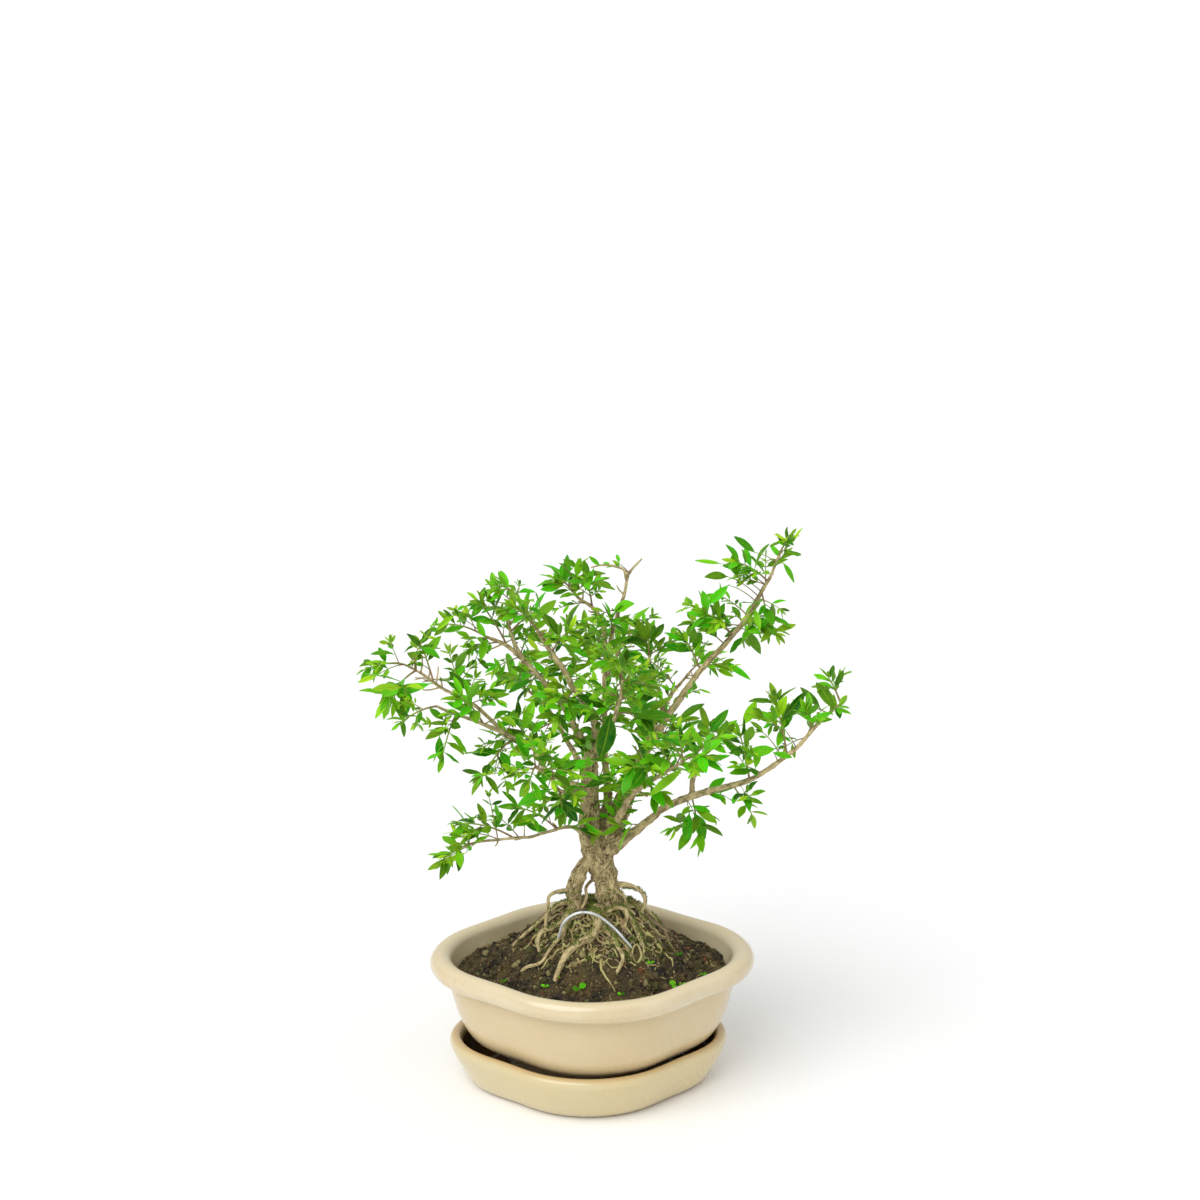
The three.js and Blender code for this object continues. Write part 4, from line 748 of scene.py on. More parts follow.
def new_finish(name, **settings):
    """A material with a Principled shader, and its tree."""
    material = bpy.data.materials.new(name)
    material.use_nodes = True
    tree = material.node_tree
    shader = tree.nodes["Principled BSDF"]
    for key, value in settings.items():
        shader.inputs[key.replace("_", " ").title().replace("Ior", "IOR")].default_value = value
    return material, tree, shader


def connect(tree, shader, bump=None, bump_depth=0.0002, **sockets):
    """Links colours and values to the shader, and heights in the range 0 to 1 to its bump."""
    for key, value in sockets.items():
        tree.links.new(value, shader.inputs[key.replace("_", " ").title()])
    if bump is not None:
        relief = node(tree, "ShaderNodeBump", {"Height": bump, "Distance": bump_depth, "Strength": 1.0})
        tree.links.new(relief.outputs[0], shader.inputs["Normal"])


def place_of(tree):
    """The place on the object that is being shaded."""
    return node(tree, "ShaderNodeTexCoord").outputs["Object"]


def parts_of(tree, vector):
    """The three parts of a vector."""
    return node(tree, "ShaderNodeSeparateXYZ", {0: vector}).outputs


def marks(tree, name):
    """The vector that set_marks wrote on every vertex."""
    return node(tree, "ShaderNodeAttribute", attribute_name=name).outputs["Vector"]


def glaze_finish(name, glaze, thin, lip, lower_tint, well_shade):
    """Cream glaze: cloudy, browner where it runs thin, with pits and brown specks."""
    material, tree, shader = new_finish(name, roughness=0.22, coat_weight=0.35, coat_roughness=0.06)
    place = place_of(tree)
    height = parts_of(tree, place)[2]
    clouds = effect(tree, "Mottle", place, coarse=22.0, fine=160.0)
    base = blend(tree, reach(tree, clouds, 0.38, 0.62), glaze, thin)
    # A band at the top edge: on the pot's rim a lighter, warmer colour, painted light from above with warmer
    # thin glaze; on the tray's lip a browner edge.
    base = blend(tree, reach(tree, height, lip[0] * MM, lip[1] * MM), base, lip[2])
    # Below the lower height the glaze is mixed 60% with a darker tint, fading out by the upper height: on the
    # pot from the crease down, on the tray over its bottom 4 mm.
    base = blend(tree, reach(tree, height, lower_tint[0] * MM, lower_tint[1] * MM, 0.6, 0.0), base, lower_tint[2])
    # Painted shade: below the lip the tray's inside turns dark brown, standing in for the shade in the gap
    # under the pot.
    if well_shade:
        well = marks(tree, "profile")
        shadowed = times(tree, parts_of(tree, well)[0], reach(tree, height, 0.0246, 0.0215))
        base = blend(tree, shadowed, base, well_shade)
    specks = effect(tree, "Specks", place, scale=75.0, share=0.07, size=0.05)
    base = blend(tree, specks, base, colour(*GLAZE_SPECK))
    smears = effect(tree, "Specks", place, scale=26.0, share=0.06, size=0.05)
    base = blend(tree, times(tree, smears, 0.6), base, colour(*GLAZE_SMEAR))
    rough = reach(tree, clouds, 0.35, 0.65, 0.16, 0.30)
    dents = figure(tree, "SUBTRACT", clouds, times(tree, specks, 0.5))
    connect(tree, shader, bump=dents, bump_depth=0.00025, base_color=base, roughness=rough)
    return material


def soil_finish(name, dark, brown, crumb):
    """Damp potting soil: dark crumbs, browner dry bits and pale grit."""
    material, tree, shader = new_finish(name, roughness=0.85)
    place = place_of(tree)
    tone = parts_of(tree, marks(tree, "tone"))
    clouds = effect(tree, "Mottle", place, coarse=90.0, fine=900.0)
    base = blend(tree, reach(tree, clouds, 0.41, 0.60), dark, brown)
    grit = effect(tree, "Specks", place, scale=620.0, share=0.16, size=0.3)
    base = blend(tree, times(tree, grit, 0.5), base, crumb)
    base = blend(tree, tone[0], base, crumb)
    base = blend(tree, tone[1], base, colour(*MOSS_STAIN))
    base = blend(tree, tone[2], base, colour(*RUSTY_CRUMB))
    fine = node(tree, "ShaderNodeTexNoise", {"Vector": place, "Scale": 1500.0, "Detail": 4.0})
    rough = reach(tree, clouds, 0.3, 0.7, 0.62, 0.95)
    connect(tree, shader, bump=fine.outputs[0], bump_depth=0.0009, base_color=base, roughness=rough)
    return material


def bark_finish(name, fissure, bark, ridge, moss):
    """Furrowed bark: dark fissures, pale worn ridges, brown scales and moss near the soil."""
    material, tree, shader = new_finish(name, roughness=0.9)
    place = place_of(tree)
    grain = marks(tree, "grain")
    furrow, green, pale = parts_of(tree, marks(tree, "bark"))
    streaks = effect(tree, "Limb grain", grain, scale=1.3, stretch=0.16)
    fine = effect(tree, "Limb grain", grain, scale=3.6, stretch=0.12)
    clouds = effect(tree, "Mottle", place, coarse=110.0, fine=700.0)
    flecks = effect(tree, "Limb grain", grain, scale=8.0, stretch=0.4)
    base = blend(tree, reach(tree, streaks, 0.42, 0.58), bark, ridge)
    base = blend(tree, reach(tree, clouds, 0.42, 0.72, 0.0, 0.5), base, colour(*BROWN_SCALE))
    base = blend(tree, reach(tree, flecks, 0.54, 0.66, 0.0, 0.65), base, colour(*PALE_FLECK))
    base = blend(tree, reach(tree, fine, 0.50, 0.42, 0.0, 0.8), base, fissure)
    base = blend(tree, reach(tree, furrow, 0.55, 0.0, 0.0, 0.92), base, fissure)
    base = blend(tree, times(tree, pale, 0.6), base, ridge)
    mossy = blend(tree, reach(tree, fine, 0.4, 0.6), moss, colour(*DRY_MOSS))
    grown_over = figure(tree, "ADD", green, times(tree, clouds, 0.5))
    base = blend(tree, reach(tree, grown_over, 0.45, 0.95), base, mossy)
    relief = figure(tree, "ADD", times(tree, streaks, 0.5), times(tree, fine, 0.5))
    rough = reach(tree, clouds, 0.3, 0.7, 0.8, 0.98)
    connect(tree, shader, bump=relief, bump_depth=0.0012, base_color=base, roughness=rough)
    return material


def leaf_finish(name, green, deep, young, underside):
    """Smooth leaf: paler midrib and veins, lighter underside, each leaf of its own tone."""
    material, tree, shader = new_finish(name, specular_ior_level=0.16, subsurface_weight=0.08,
        subsurface_scale=0.001, subsurface_radius=(0.4, 1.0, 0.05))
    place = place_of(tree)
    side, along, under = parts_of(tree, marks(tree, "blade"))
    tone, age, _ = parts_of(tree, marks(tree, "tone"))
    clouds = effect(tree, "Mottle", place, coarse=60.0, fine=450.0)
    base = blend(tree, tone, deep, green)
    base = blend(tree, reach(tree, clouds, 0.4, 0.7, 0.0, 0.16), base, young)
    base = blend(tree, age, base, young)
    base = blend(tree, times(tree, under, 0.55), base, underside)
    from_rib = figure(tree, "ABSOLUTE", side)
    rib = reach(tree, from_rib, 0.10, 0.03)
    slant = figure(tree, "SUBTRACT", times(tree, along, 9.0), times(tree, from_rib, 1.6))
    waves = figure(tree, "ABSOLUTE", figure(tree, "SINE", times(tree, slant, math.pi)))
    vein = times(tree, reach(tree, waves, 0.16, 0.0), 0.16)
    base = blend(tree, figure(tree, "MAXIMUM", times(tree, rib, 0.4), vein), base, young)
    base = blend(tree, times(tree, reach(tree, from_rib, 0.82, 1.0), 0.25), base, young)
    dip = figure(tree, "SUBTRACT", 1.0, figure(tree, "MAXIMUM", rib, times(tree, vein, 1.6)))
    rough = reach(tree, clouds, 0.3, 0.7, 0.3, 0.5)
    connect(tree, shader, bump=dip, bump_depth=0.00018, base_color=base, roughness=rough)
    return material


def shoot_finish(name, twig, green):
    """Young shoot: brown and finely streaked at its foot, green towards its tip."""
    material, tree, shader = new_finish(name, roughness=0.6)
    place = place_of(tree)
    age = parts_of(tree, marks(tree, "tone"))[1]
    clouds = effect(tree, "Mottle", place, coarse=300.0, fine=1400.0)
    base = blend(tree, reach(tree, clouds, 0.35, 0.65), twig, colour(*TWIG_STREAK))
    base = blend(tree, reach(tree, age, 0.15, 0.75), base, green)
    connect(tree, shader, bump=clouds, bump_depth=0.0002, base_color=base,
        roughness=reach(tree, clouds, 0.3, 0.7, 0.5, 0.75))
    return material


def wire_finish(name, metal):
    """Dull white aluminium wire, smudged and finely scratched."""
    material, tree, shader = new_finish(name, metallic=0.35)
    place = place_of(tree)
    clouds = effect(tree, "Mottle", place, coarse=200.0, fine=1300.0)
    base = blend(tree, reach(tree, clouds, 0.45, 0.65), metal, colour(*WIRE_SMUDGE))
    connect(tree, shader, bump=clouds, bump_depth=0.00015, base_color=base,
        roughness=reach(tree, clouds, 0.3, 0.7, 0.3, 0.6))
    return material


def moss_finish(name, dark, light):
    """Moss blades: dark and bright green in clouds, some of them yellow."""
    material, tree, shader = new_finish(name, roughness=0.8)
    place = place_of(tree)
    tone = parts_of(tree, marks(tree, "tone"))
    clouds = effect(tree, "Mottle", place, coarse=120.0, fine=1200.0)
    base = blend(tree, reach(tree, clouds, 0.35, 0.65), dark, light)
    base = blend(tree, tone[0], base, light)
    base = blend(tree, tone[1], base, colour(*YELLOW_MOSS))
    connect(tree, shader, bump=clouds, bump_depth=0.0003, base_color=base,
        roughness=reach(tree, clouds, 0.3, 0.7, 0.65, 0.95))
    return material


def litter_finish(name):
    """Bark slivers, a pale splinter and straw: each bit of its own colour, streaked."""
    material, tree, shader = new_finish(name, roughness=0.8)
    place = place_of(tree)
    tone = marks(tree, "tone")
    streaks = effect(tree, "Limb grain", place, scale=900.0, stretch=0.2)
    base = blend(tree, reach(tree, streaks, 0.3, 0.7, 0.0, 0.45), tone, colour(*LITTER_STREAK))
    connect(tree, shader, bump=streaks, bump_depth=0.0003, base_color=base,
        roughness=reach(tree, streaks, 0.3, 0.7, 0.6, 0.9))
    return material


# ---- the settings that a user may change


def colour_setting(name, description, rgb):
    """A colour for a property group, from numbers up to 255."""
    return bpy.props.FloatVectorProperty(name=name, description=description, subtype="COLOR", size=4,
        min=0.0, max=1.0, default=colour(*rgb))


class BonsaiPotSettings(bpy.types.PropertyGroup):
    """Pot and drip tray."""

    sides: bpy.props.IntProperty(name="Sides", description="Points round the pot and the tray", default=112,
        min=48)
    glaze: colour_setting("Pot glaze", "Cream glaze of the pot", (214, 200, 168))
    thin_glaze: colour_setting("Thin glaze", "Warmer glaze where it runs thin", (208, 188, 150))
    tray_glaze: colour_setting("Tray glaze", "Darker cream glaze of the tray", (204, 190, 150))
    # The tray well colour is painted shade for the dark gap between pot and tray.
    tray_well_shade: colour_setting("Tray well", "Dark wet glaze on the tray's floor", (82, 58, 32))
    waviness: bpy.props.FloatProperty(name="Waviness", description="Depth of the hand-made unevenness",
        default=0.0007, unit="LENGTH")


class BonsaiSoilSettings(bpy.types.PropertyGroup):
    """Soil, its crumbs and what lies on it."""

    crumbs: bpy.props.IntProperty(name="Crumbs", description="Loose crumbs on the soil", default=2200, min=0)
    grains: bpy.props.IntProperty(name="Grains", description="Small grains of soil", default=8800, min=0)
    moss_blades: bpy.props.IntProperty(name="Moss", description="Small moss blades", default=13500, min=0)
    hair_roots: bpy.props.IntProperty(name="Hair roots", description="Thin roots on the mound", default=46,
        min=1)
    young_roots: bpy.props.IntProperty(name="Young roots", default=330, min=1,
        description="Short pale roots that curl over the mound")
    dark: colour_setting("Soil", "Damp dark soil", (34, 26, 16))
    brown: colour_setting("Dry soil", "Drier brown soil", (96, 80, 48))
    grit: colour_setting("Grit", "Pale grit and dry crumbs", (158, 144, 96))
    moss: colour_setting("Moss", "Dark moss green", (70, 84, 30))
    moss_tips: colour_setting("Moss tips", "Bright moss tips", (122, 140, 52))


class BonsaiWoodSettings(bpy.types.PropertyGroup):
    """Trunk, limbs and roots."""

    voxel: bpy.props.FloatProperty(name="Voxel", description="Fineness of the joined wood", default=0.0006,
        unit="LENGTH")
    furrows: bpy.props.FloatProperty(name="Furrows", description="Depth of the bark's furrows", default=0.001,
        unit="LENGTH")
    bark: colour_setting("Bark", "Olive-brown bark", (160, 138, 86))
    ridge: colour_setting("Ridges", "Pale worn ridges", (236, 216, 160))
    fissure: colour_setting("Fissures", "Dark fissures", (33, 25, 12))
    wire: colour_setting("Wire", "White aluminium of the tie wire", (226, 229, 232))


class BonsaiLeafSettings(bpy.types.PropertyGroup):
    """Shoots and leaves."""

    length: bpy.props.FloatProperty(name="Leaf length", description="Length of a grown leaf",
        default=LEAF_LENGTH * MM, unit="LENGTH")
    slimness: bpy.props.FloatProperty(name="Slimness", description="Width of a leaf over its length",
        default=LEAF_SLIMNESS)
    thickness: bpy.props.FloatProperty(name="Thickness", description="Thickness of a blade",
        default=BLADE_THICKNESS * MM, unit="LENGTH")
    green: colour_setting("Leaf", "Bright green of grown leaves", (70, 200, 0))
    deep: colour_setting("Deep leaf", "Deeper green of older leaves", (0, 90, 4))
    young: colour_setting("Young leaf", "Yellow-green of young leaves", (172, 216, 42))
    underside: colour_setting("Underside", "Paler underside", (112, 168, 62))


class BonsaiStageSettings(bpy.types.PropertyGroup):
    """Camera and light."""

    daylight: bpy.props.FloatProperty(name="Daylight", description="Strength of the white surroundings",
        default=0.62)
    key: bpy.props.FloatProperty(name="Key light", description="Strength of the soft main light", default=1.9)
    fill: bpy.props.FloatProperty(name="Fill light", description="Strength of the light from the right",
        default=0.3)


# ---- the pieces


class BONSAI_OT_stage(bpy.types.Operator):
    """White floor, soft light from all round and the camera in front and above"""

    bl_idname = "bonsai.stage"
    bl_label = "Stage"

    def execute(self, context):
        settings = context.scene.bonsai_stage
        scene = context.scene
        scene.view_settings.view_transform = "Standard"
        lens = bpy.data.cameras.new("bonsai_camera")
        lens.lens, lens.sensor_width = CAMERA_LENS, CAMERA_SENSOR
        lens.clip_start, lens.clip_end = 0.01, 50.0
        camera = bpy.data.objects.new("bonsai_camera", lens)
        camera.location = CAMERA_PLACE
        camera.rotation_euler = (math.pi / 2 - CAMERA_DIP, 0.0, CAMERA_SWING)
        scene.collection.objects.link(camera)
        scene.camera = camera
        deselect()
        bpy.ops.mesh.primitive_circle_add(vertices=64, radius=6.0, fill_type="NGON", location=(0, 0, 0))
        floor = context.object
        floor.name = "studio_floor"
        material, tree, shader = new_finish("white_floor", roughness=0.9)
        clouds = effect(tree, "Mottle", place_of(tree), coarse=3.0, fine=30.0)
        connect(tree, shader, base_color=blend(tree, clouds, (0.96, 0.96, 0.96, 1), (0.98, 0.98, 0.98, 1)))
        floor.data.materials.append(material)
        world = bpy.data.worlds.new("white_room")
        scene.world = world
        world.use_nodes = True
        tree = world.node_tree
        backdrop = tree.nodes["Background"]
        backdrop.inputs["Color"].default_value = (1.0, 1.0, 1.0, 1.0)
        seen = node(tree, "ShaderNodeLightPath").outputs["Is Camera Ray"]
        tree.links.new(reach(tree, seen, 0.0, 1.0, settings.daylight, 1.1), backdrop.inputs["Strength"])
        lights = {"key": (*KEY_LIGHT, settings.key), "fill": (*FILL_LIGHT, settings.fill)}
        for name, (place, spread, strength) in lights.items():
            light = bpy.data.lights.new(name + "_light", "SUN")
            light.energy, light.angle = strength, math.radians(spread)
            lamp = bpy.data.objects.new(name + "_light", light)
            lamp.location = place
            lamp.rotation_euler = Vector(place).to_track_quat("Z", "Y").to_euler()
            scene.collection.objects.link(lamp)
        return {"FINISHED"}


def pot_level(out, height):
    """A level of the pot or the soil: half its length, half its depth and its height."""
    return RIM_HALF_LENGTH + out, RIM_HALF_DEPTH + DEPTH_NARROWING * out, height


class BONSAI_OT_pot(bpy.types.Operator):
    """Lobed pot with its rolled rim, crease, feet and drain holes"""

    bl_idname = "bonsai.pot"
    bl_label = "Pot"

    def execute(self, context):
        settings = context.scene.bonsai_pot
        centre_out = 1.5 - RIM_HALF_DEPTH
        angles = np.radians(np.arange(-70, 166, 12))
        rim = np.stack([ROLL_HALF_WIDTH * np.cos(angles), RIM_HEIGHT + ROLL_HALF_HEIGHT * np.sin(angles)], 1)
        profile = [(centre_out, POT_UNDERSIDE), (-50, POT_UNDERSIDE), (-40, POT_UNDERSIDE - 0.1),
            *smooth_outline(POT_BELLY, 2.2), *rim, *smooth_outline(POT_INSIDE, 3.0), (-42, POT_FLOOR),
            (-52, POT_FLOOR), (centre_out, POT_FLOOR)]
        levels = [pot_level(out, height) for out, height in profile]
        pot = lobed_body("pot_glazed", levels, settings.sides)
        for x in DRAINS:
            bpy.ops.mesh.primitive_cylinder_add(vertices=32, radius=DRAIN_RADIUS * MM, depth=20 * MM,
                location=(x * MM, 0, 9 * MM))
            drill = context.object
            apply_modifier(pot, "BOOLEAN", operation="DIFFERENCE", object=drill)
            bpy.data.objects.remove(drill)
        foot_height = POT_UNDERSIDE + FOOT_SUNK - TRAY_FLOOR - CLEARANCE
        middle = (TRAY_FLOOR + CLEARANCE + foot_height / 2) * MM
        for x, y in FEET:
            bpy.ops.mesh.primitive_cone_add(vertices=32, radius1=(FOOT_RADIUS - 1) * MM,
                radius2=FOOT_RADIUS * MM, depth=foot_height * MM, location=(x * MM, y * MM, middle))
            foot = context.object
            bpy.ops.object.transform_apply(location=True, rotation=False, scale=False)
            apply_modifier(foot, "BEVEL", width=0.8 * MM, segments=3)
            apply_modifier(pot, "BOOLEAN", operation="UNION", object=foot)
            bpy.data.objects.remove(foot)
        wave = rough_texture("pot_unevenness", "CLOUDS", 0.045)
        apply_modifier(pot, "SUBSURF", levels=1, render_levels=1)
        apply_modifier(pot, "DISPLACE", texture=wave, texture_coords="LOCAL", strength=settings.waviness,
            mid_level=0.5)
        # The rim's top is lighter and warmer: painted light from above, with warmer thin glaze.
        glaze = glaze_finish("pot_glaze", settings.glaze, settings.thin_glaze,
            (70.0, 72.6, colour(*WARM_LIT_RIM)), (58.4, 61.6, colour(*POT_CREASE)), None)
        finish(pot, glaze, "pot_glaze", "pot")
        return {"FINISHED"}


class BONSAI_OT_tray(bpy.types.Operator):
    """Lobed drip tray with its rolled lip"""

    bl_idname = "bonsai.tray"
    bl_label = "Drip tray"

    def execute(self, context):
        settings = context.scene.bonsai_pot
        centre_out = 1.5 - TRAY_HALF_DEPTH
        profile = [(centre_out, 0.0), (-30, 0.0), (-4, 0.0), *smooth_outline(TRAY_WALL, 1.3),
            (-8, TRAY_FLOOR), (-30, TRAY_FLOOR), (centre_out, TRAY_FLOOR)]
        levels = [(TRAY_HALF_LENGTH + out, TRAY_HALF_DEPTH + out, max(height, 0.0))
            for out, height in profile]
        tray = lobed_body("tray_glazed", levels, settings.sides)
        set_points(tray, points_of(tray) + (TRAY_SHIFT, 0, 0))
        apply_modifier(tray, "SUBSURF", levels=1, render_levels=1)
        points, normals = points_of(tray), normals_of(tray)
        # Marks the tray's inside walls and floor, which take the dark painted shade of the well.
        inward = np.einsum("ij,ij->i", points[:, :2], normals[:, :2]) < 0
        inside = (inward | ((normals[:, 2] > 0.7) & (points[:, 2] < 19))) & (points[:, 2] > 3.5)
        set_marks(tray, "profile", np.repeat(inside[:, None], 3, 1))
        # The tray's bottom 4 mm takes a darker tint.
        glaze = glaze_finish("tray_glaze", settings.tray_glaze, colour(*THIN_TRAY_GLAZE),
            (25.0, 26.4, colour(*WORN_LIP)), (0.0, 4.0, colour(*TRAY_FOOT)), settings.tray_well_shade)
        finish(tray, glaze, "tray_glaze", "drip_tray")
        return {"FINISHED"}


class BONSAI_OT_soil(bpy.types.Operator):
    """Crumbly soil mounded round the trunk, with loose crumbs on it"""

    bl_idname = "bonsai.soil"
    bl_label = "Soil"

    def execute(self, context):
        settings = context.scene.bonsai_soil
        bottom = SOIL_WALL[0][1]
        half_length, half_depth, _ = pot_level(SOIL_EDGE, SOIL_LEVEL)
        levels = [(4.0, 3.0, bottom), (RIM_HALF_LENGTH - 41, RIM_HALF_DEPTH - 35, bottom)]
        levels += [pot_level(out, height) for out, height in SOIL_WALL]
        shares = np.linspace(0.985, 0.02, 26)
        levels += [(half_length * share, half_depth * share, SOIL_LEVEL) for share in shares]
        soil = lobed_body("soil_bed", levels, 64)
        apply_modifier(soil, "SUBSURF", levels=2, render_levels=2, subdivision_type="SIMPLE")
        points = points_of(soil)
        top = points[:, 2] > SOIL_LEVEL - 0.4
        points[top, 2] = soil_height(points[top, 0], points[top, 1])
        set_points(soil, points)
        group = soil.vertex_groups.new(name="surface")
        group.add([int(number) for number in np.nonzero(top)[0]], 1.0, "REPLACE")
        clumps = rough_texture("soil_clumps", "VORONOI", 0.0052, noise_intensity=1.0)
        crumbs = rough_texture("soil_crumbs", "CLOUDS", 0.0016, noise_depth=3)
        for texture, strength, middle in ((clumps, -0.0024, 0.4), (crumbs, 0.0022, 0.5)):
            apply_modifier(soil, "DISPLACE", texture=texture, texture_coords="LOCAL", direction="Z",
                strength=strength, mid_level=middle, vertex_group="surface")
        points = points_of(soil)
        patch = np.array([noise.noise((x * 0.11, y * 0.11, 3.0)) for x, y, _ in points])
        near = np.clip(1 - np.hypot(points[:, 0] - 4, points[:, 1] + 4) / 34, 0, 1)
        moss = np.clip(near * 1.6 + patch * 1.3 - 0.45, 0, 0.85)
        pale, rusty = np.clip(-patch - 0.35, 0, 0.3), np.clip(patch - 0.55, 0, 0.4)
        set_marks(soil, "tone", np.stack([pale, moss, rusty], 1))
        earth = soil_finish("damp_soil", settings.dark, settings.brown, settings.grit)
        finish(soil, earth, "soil", "soil")
        ground = ground_of(soil)
        finish(crumb_piece("soil_crumbs", ground, settings.crumbs, 2, (0.45, 1.5), CRUMB_SEED), earth, "soil")
        finish(crumb_piece("soil_grains", ground, settings.grains, 1, (0.4, 0.7), GRAIN_SEED), earth, "soil")
        return {"FINISHED"}


def ground_of(obj):
    """A finder of the top surface of an object: its height and slope over a point, in millimetres."""
    tree = BVHTree.FromObject(obj, bpy.context.evaluated_depsgraph_get())

    def find(x, y):
        hit, normal, _, _ = tree.ray_cast(Vector((x * MM, y * MM, ABOVE_ALL)), Vector((0, 0, -1)))
        return (hit.z / MM, np.array(normal)) if hit else (None, None)

    return find


def any_turn(rng):
    """A matrix that turns a copy any way."""
    first = unit(np.array([rng.gauss(0, 1) for _ in range(3)]))
    second = unit(np.cross(first, unit(np.array([rng.gauss(0, 1) for _ in range(3)]))))
    return np.stack([first, second, np.cross(first, second)], 1)


def crumb_piece(name, ground, number, fineness, sizes, seed):
    """Loose crumbs, copied from four rough lumps and sunk a little into the soil."""
    patterns = []
    for lump in range(4):
        deselect()
        bpy.ops.mesh.primitive_ico_sphere_add(subdivisions=fineness, radius=0.01, location=(0, 0, 0))
        rock = bpy.context.object
        knobs = rough_texture(f"{name}_{lump}", "CLOUDS", 0.007 + 0.002 * lump)
        apply_modifier(rock, "DISPLACE", texture=knobs, texture_coords="LOCAL", strength=0.012, mid_level=0.5)
        patterns.append((points_of(rock) / 10, faces_of(rock)))
        bpy.data.objects.remove(rock)
    rng, places = random.Random(seed), []
    while len(places) < number:
        angle, share = rng.uniform(0, 2 * math.pi), math.sqrt(rng.random())
        x, y = plan_point((RIM_HALF_LENGTH - 9) * share, (RIM_HALF_DEPTH - 9) * share, angle)
        height, _ = ground(x, y)
        if height is None or math.hypot(x - MOUND_CENTRE_X, y) < 12:
            continue
        size = sizes[0] + sizes[1] * rng.random() ** 3.2
        scale = np.diag([size * rng.uniform(0.8, 1.3), size, size * rng.uniform(0.6, 1.0)])
        pale, rusty = rng.random(), rng.random()
        paleness = 0.7 * (pale > 0.9) + 0.2 * rng.random() ** 3
        mark = (paleness, 0.6 * (rng.random() > 0.9), 0.6 * (rusty > 0.98))
        places.append((rng.randrange(4), any_turn(rng) @ scale, np.array([x, y, height + size * 0.25]), mark))
    return copies(name, patterns, places)


def limb_frames(runs):
    """Every point of every run with its heading, two cross directions, distance along and radius."""
    rows = []
    for number, run in enumerate(runs):
        heads = np.gradient(run[:, :3], axis=0)
        along = lengths_along(run)
        side = np.array([0.31, 0.93, 0.2])
        for point, head, distance in zip(run, heads, along):
            head = unit(head)
            side = unit(side - head * np.dot(side, head))
            rows.append((*point[:3], *head, *side, *np.cross(head, side), distance + 37 * number, point[3]))
    return np.array(rows)


def limb_marks(points, frames):
    """For each point its place round and along the limb that it lies on, and that limb's radius."""
    marks_found, radii = np.empty((len(points), 3)), np.empty(len(points))
    squares = (frames[:, :3] ** 2).sum(1)
    for first in range(0, len(points), 4000):
        some = points[first:first + 4000]
        apart = np.sqrt(np.maximum((some**2).sum(1)[:, None] + squares - 2 * some @ frames[:, :3].T, 0))
        best = frames[np.argmin(apart - frames[:, 13], axis=1)]
        away = some - best[:, :3]
        along = np.einsum("ij,ij->i", away, best[:, 3:6])
        side = np.einsum("ij,ij->i", away, best[:, 6:9])
        across = np.einsum("ij,ij->i", away, best[:, 9:12])
        marks_found[first:first + 4000] = np.stack([side, across, best[:, 12] + along], 1)
        radii[first:first + 4000] = best[:, 13]
    return marks_found, radii


def furrow(obj, runs, depth, hollowed=False):
    """Cuts bark furrows along the limbs into a mesh, and marks it for the bark's colours."""
    points, normals = points_of(obj), normals_of(obj)
    grain, radii = limb_marks(points, limb_frames(runs))
    lines, cracks, lumps, growth = [], [], [], []
    for (side, across, along), (x, y, z) in zip(grain, points):
        lines.append(noise.noise((side * 0.5, across * 0.5, along * 0.075)))
        cracks.append(noise.noise((side * 1.05, across * 1.05, along * 0.2 + 5)))
        lumps.append(noise.noise((x * 0.33, y * 0.33, z * 0.22)))
        growth.append(noise.noise((x * 0.16, y * 0.16, z * 0.12 + 40)))
    lines, cracks, lumps, growth = np.array(lines), np.array(cracks), np.array(lumps), np.array(growth)
    crack = np.maximum(np.exp(-((lines / 0.07) ** 2)), 0.55 * np.exp(-((cracks / 0.08) ** 2)))
    ease = np.clip((radii - 0.7) / 3.2, 0.0, 1.0)
    flutes = np.array([noise.noise((side * 0.17, across * 0.17, along * 0.022 + 9))
        for side, across, along in grain])
    thick = np.clip((radii - 2.6) / 3.0, 0.0, 1.0)
    lift = depth / MM * ease * (0.4 - 1.2 * crack + 0.5 * lines) + 0.22 * ease * lumps + 1.5 * thick * flutes
    for middle, radius, deep in HOLLOWS if hollowed else ():
        inside = np.clip(1 - (np.linalg.norm(points - np.array(middle), axis=1) / radius) ** 2, 0, 1)
        lift -= deep * inside
        crack = np.maximum(crack, np.clip(inside * 1.7, 0, 1))
    set_points(obj, points + normals * lift[:, None])
    low = np.clip((116 - points[:, 2]) / 30, 0, 1)
    near = np.clip((17 - np.hypot(points[:, 0] - 9, points[:, 1] - 3)) / 8, 0.12, 1)
    green = np.clip(low * 0.75 + growth * 0.9 + 0.15 * normals[:, 2] - 0.22, 0, 1)
    green = green * near * (points[:, 2] < 126)
    set_marks(obj, "grain", grain)
    pale = np.clip(lumps * 1.6 + 0.45 * (1 - ease), 0, 1)
    set_marks(obj, "bark", np.stack([1 - crack * (0.25 + 0.75 * ease), green, pale], 1))
    return obj


def knotted(run, spacing, seed):
    """The run with small swellings where old leaf pairs grew."""
    out = run.copy()
    along = lengths_along(run)
    for knot in range(int(along[-1] / spacing) + 1):
        middle = (knot + 0.3 + 0.5 * roll(seed + knot)) * spacing
        out[:, 3] *= 1 + (0.1 + 0.16 * roll(seed + knot + 50)) * np.exp(-(((along - middle) / 0.7) ** 2))
    return out


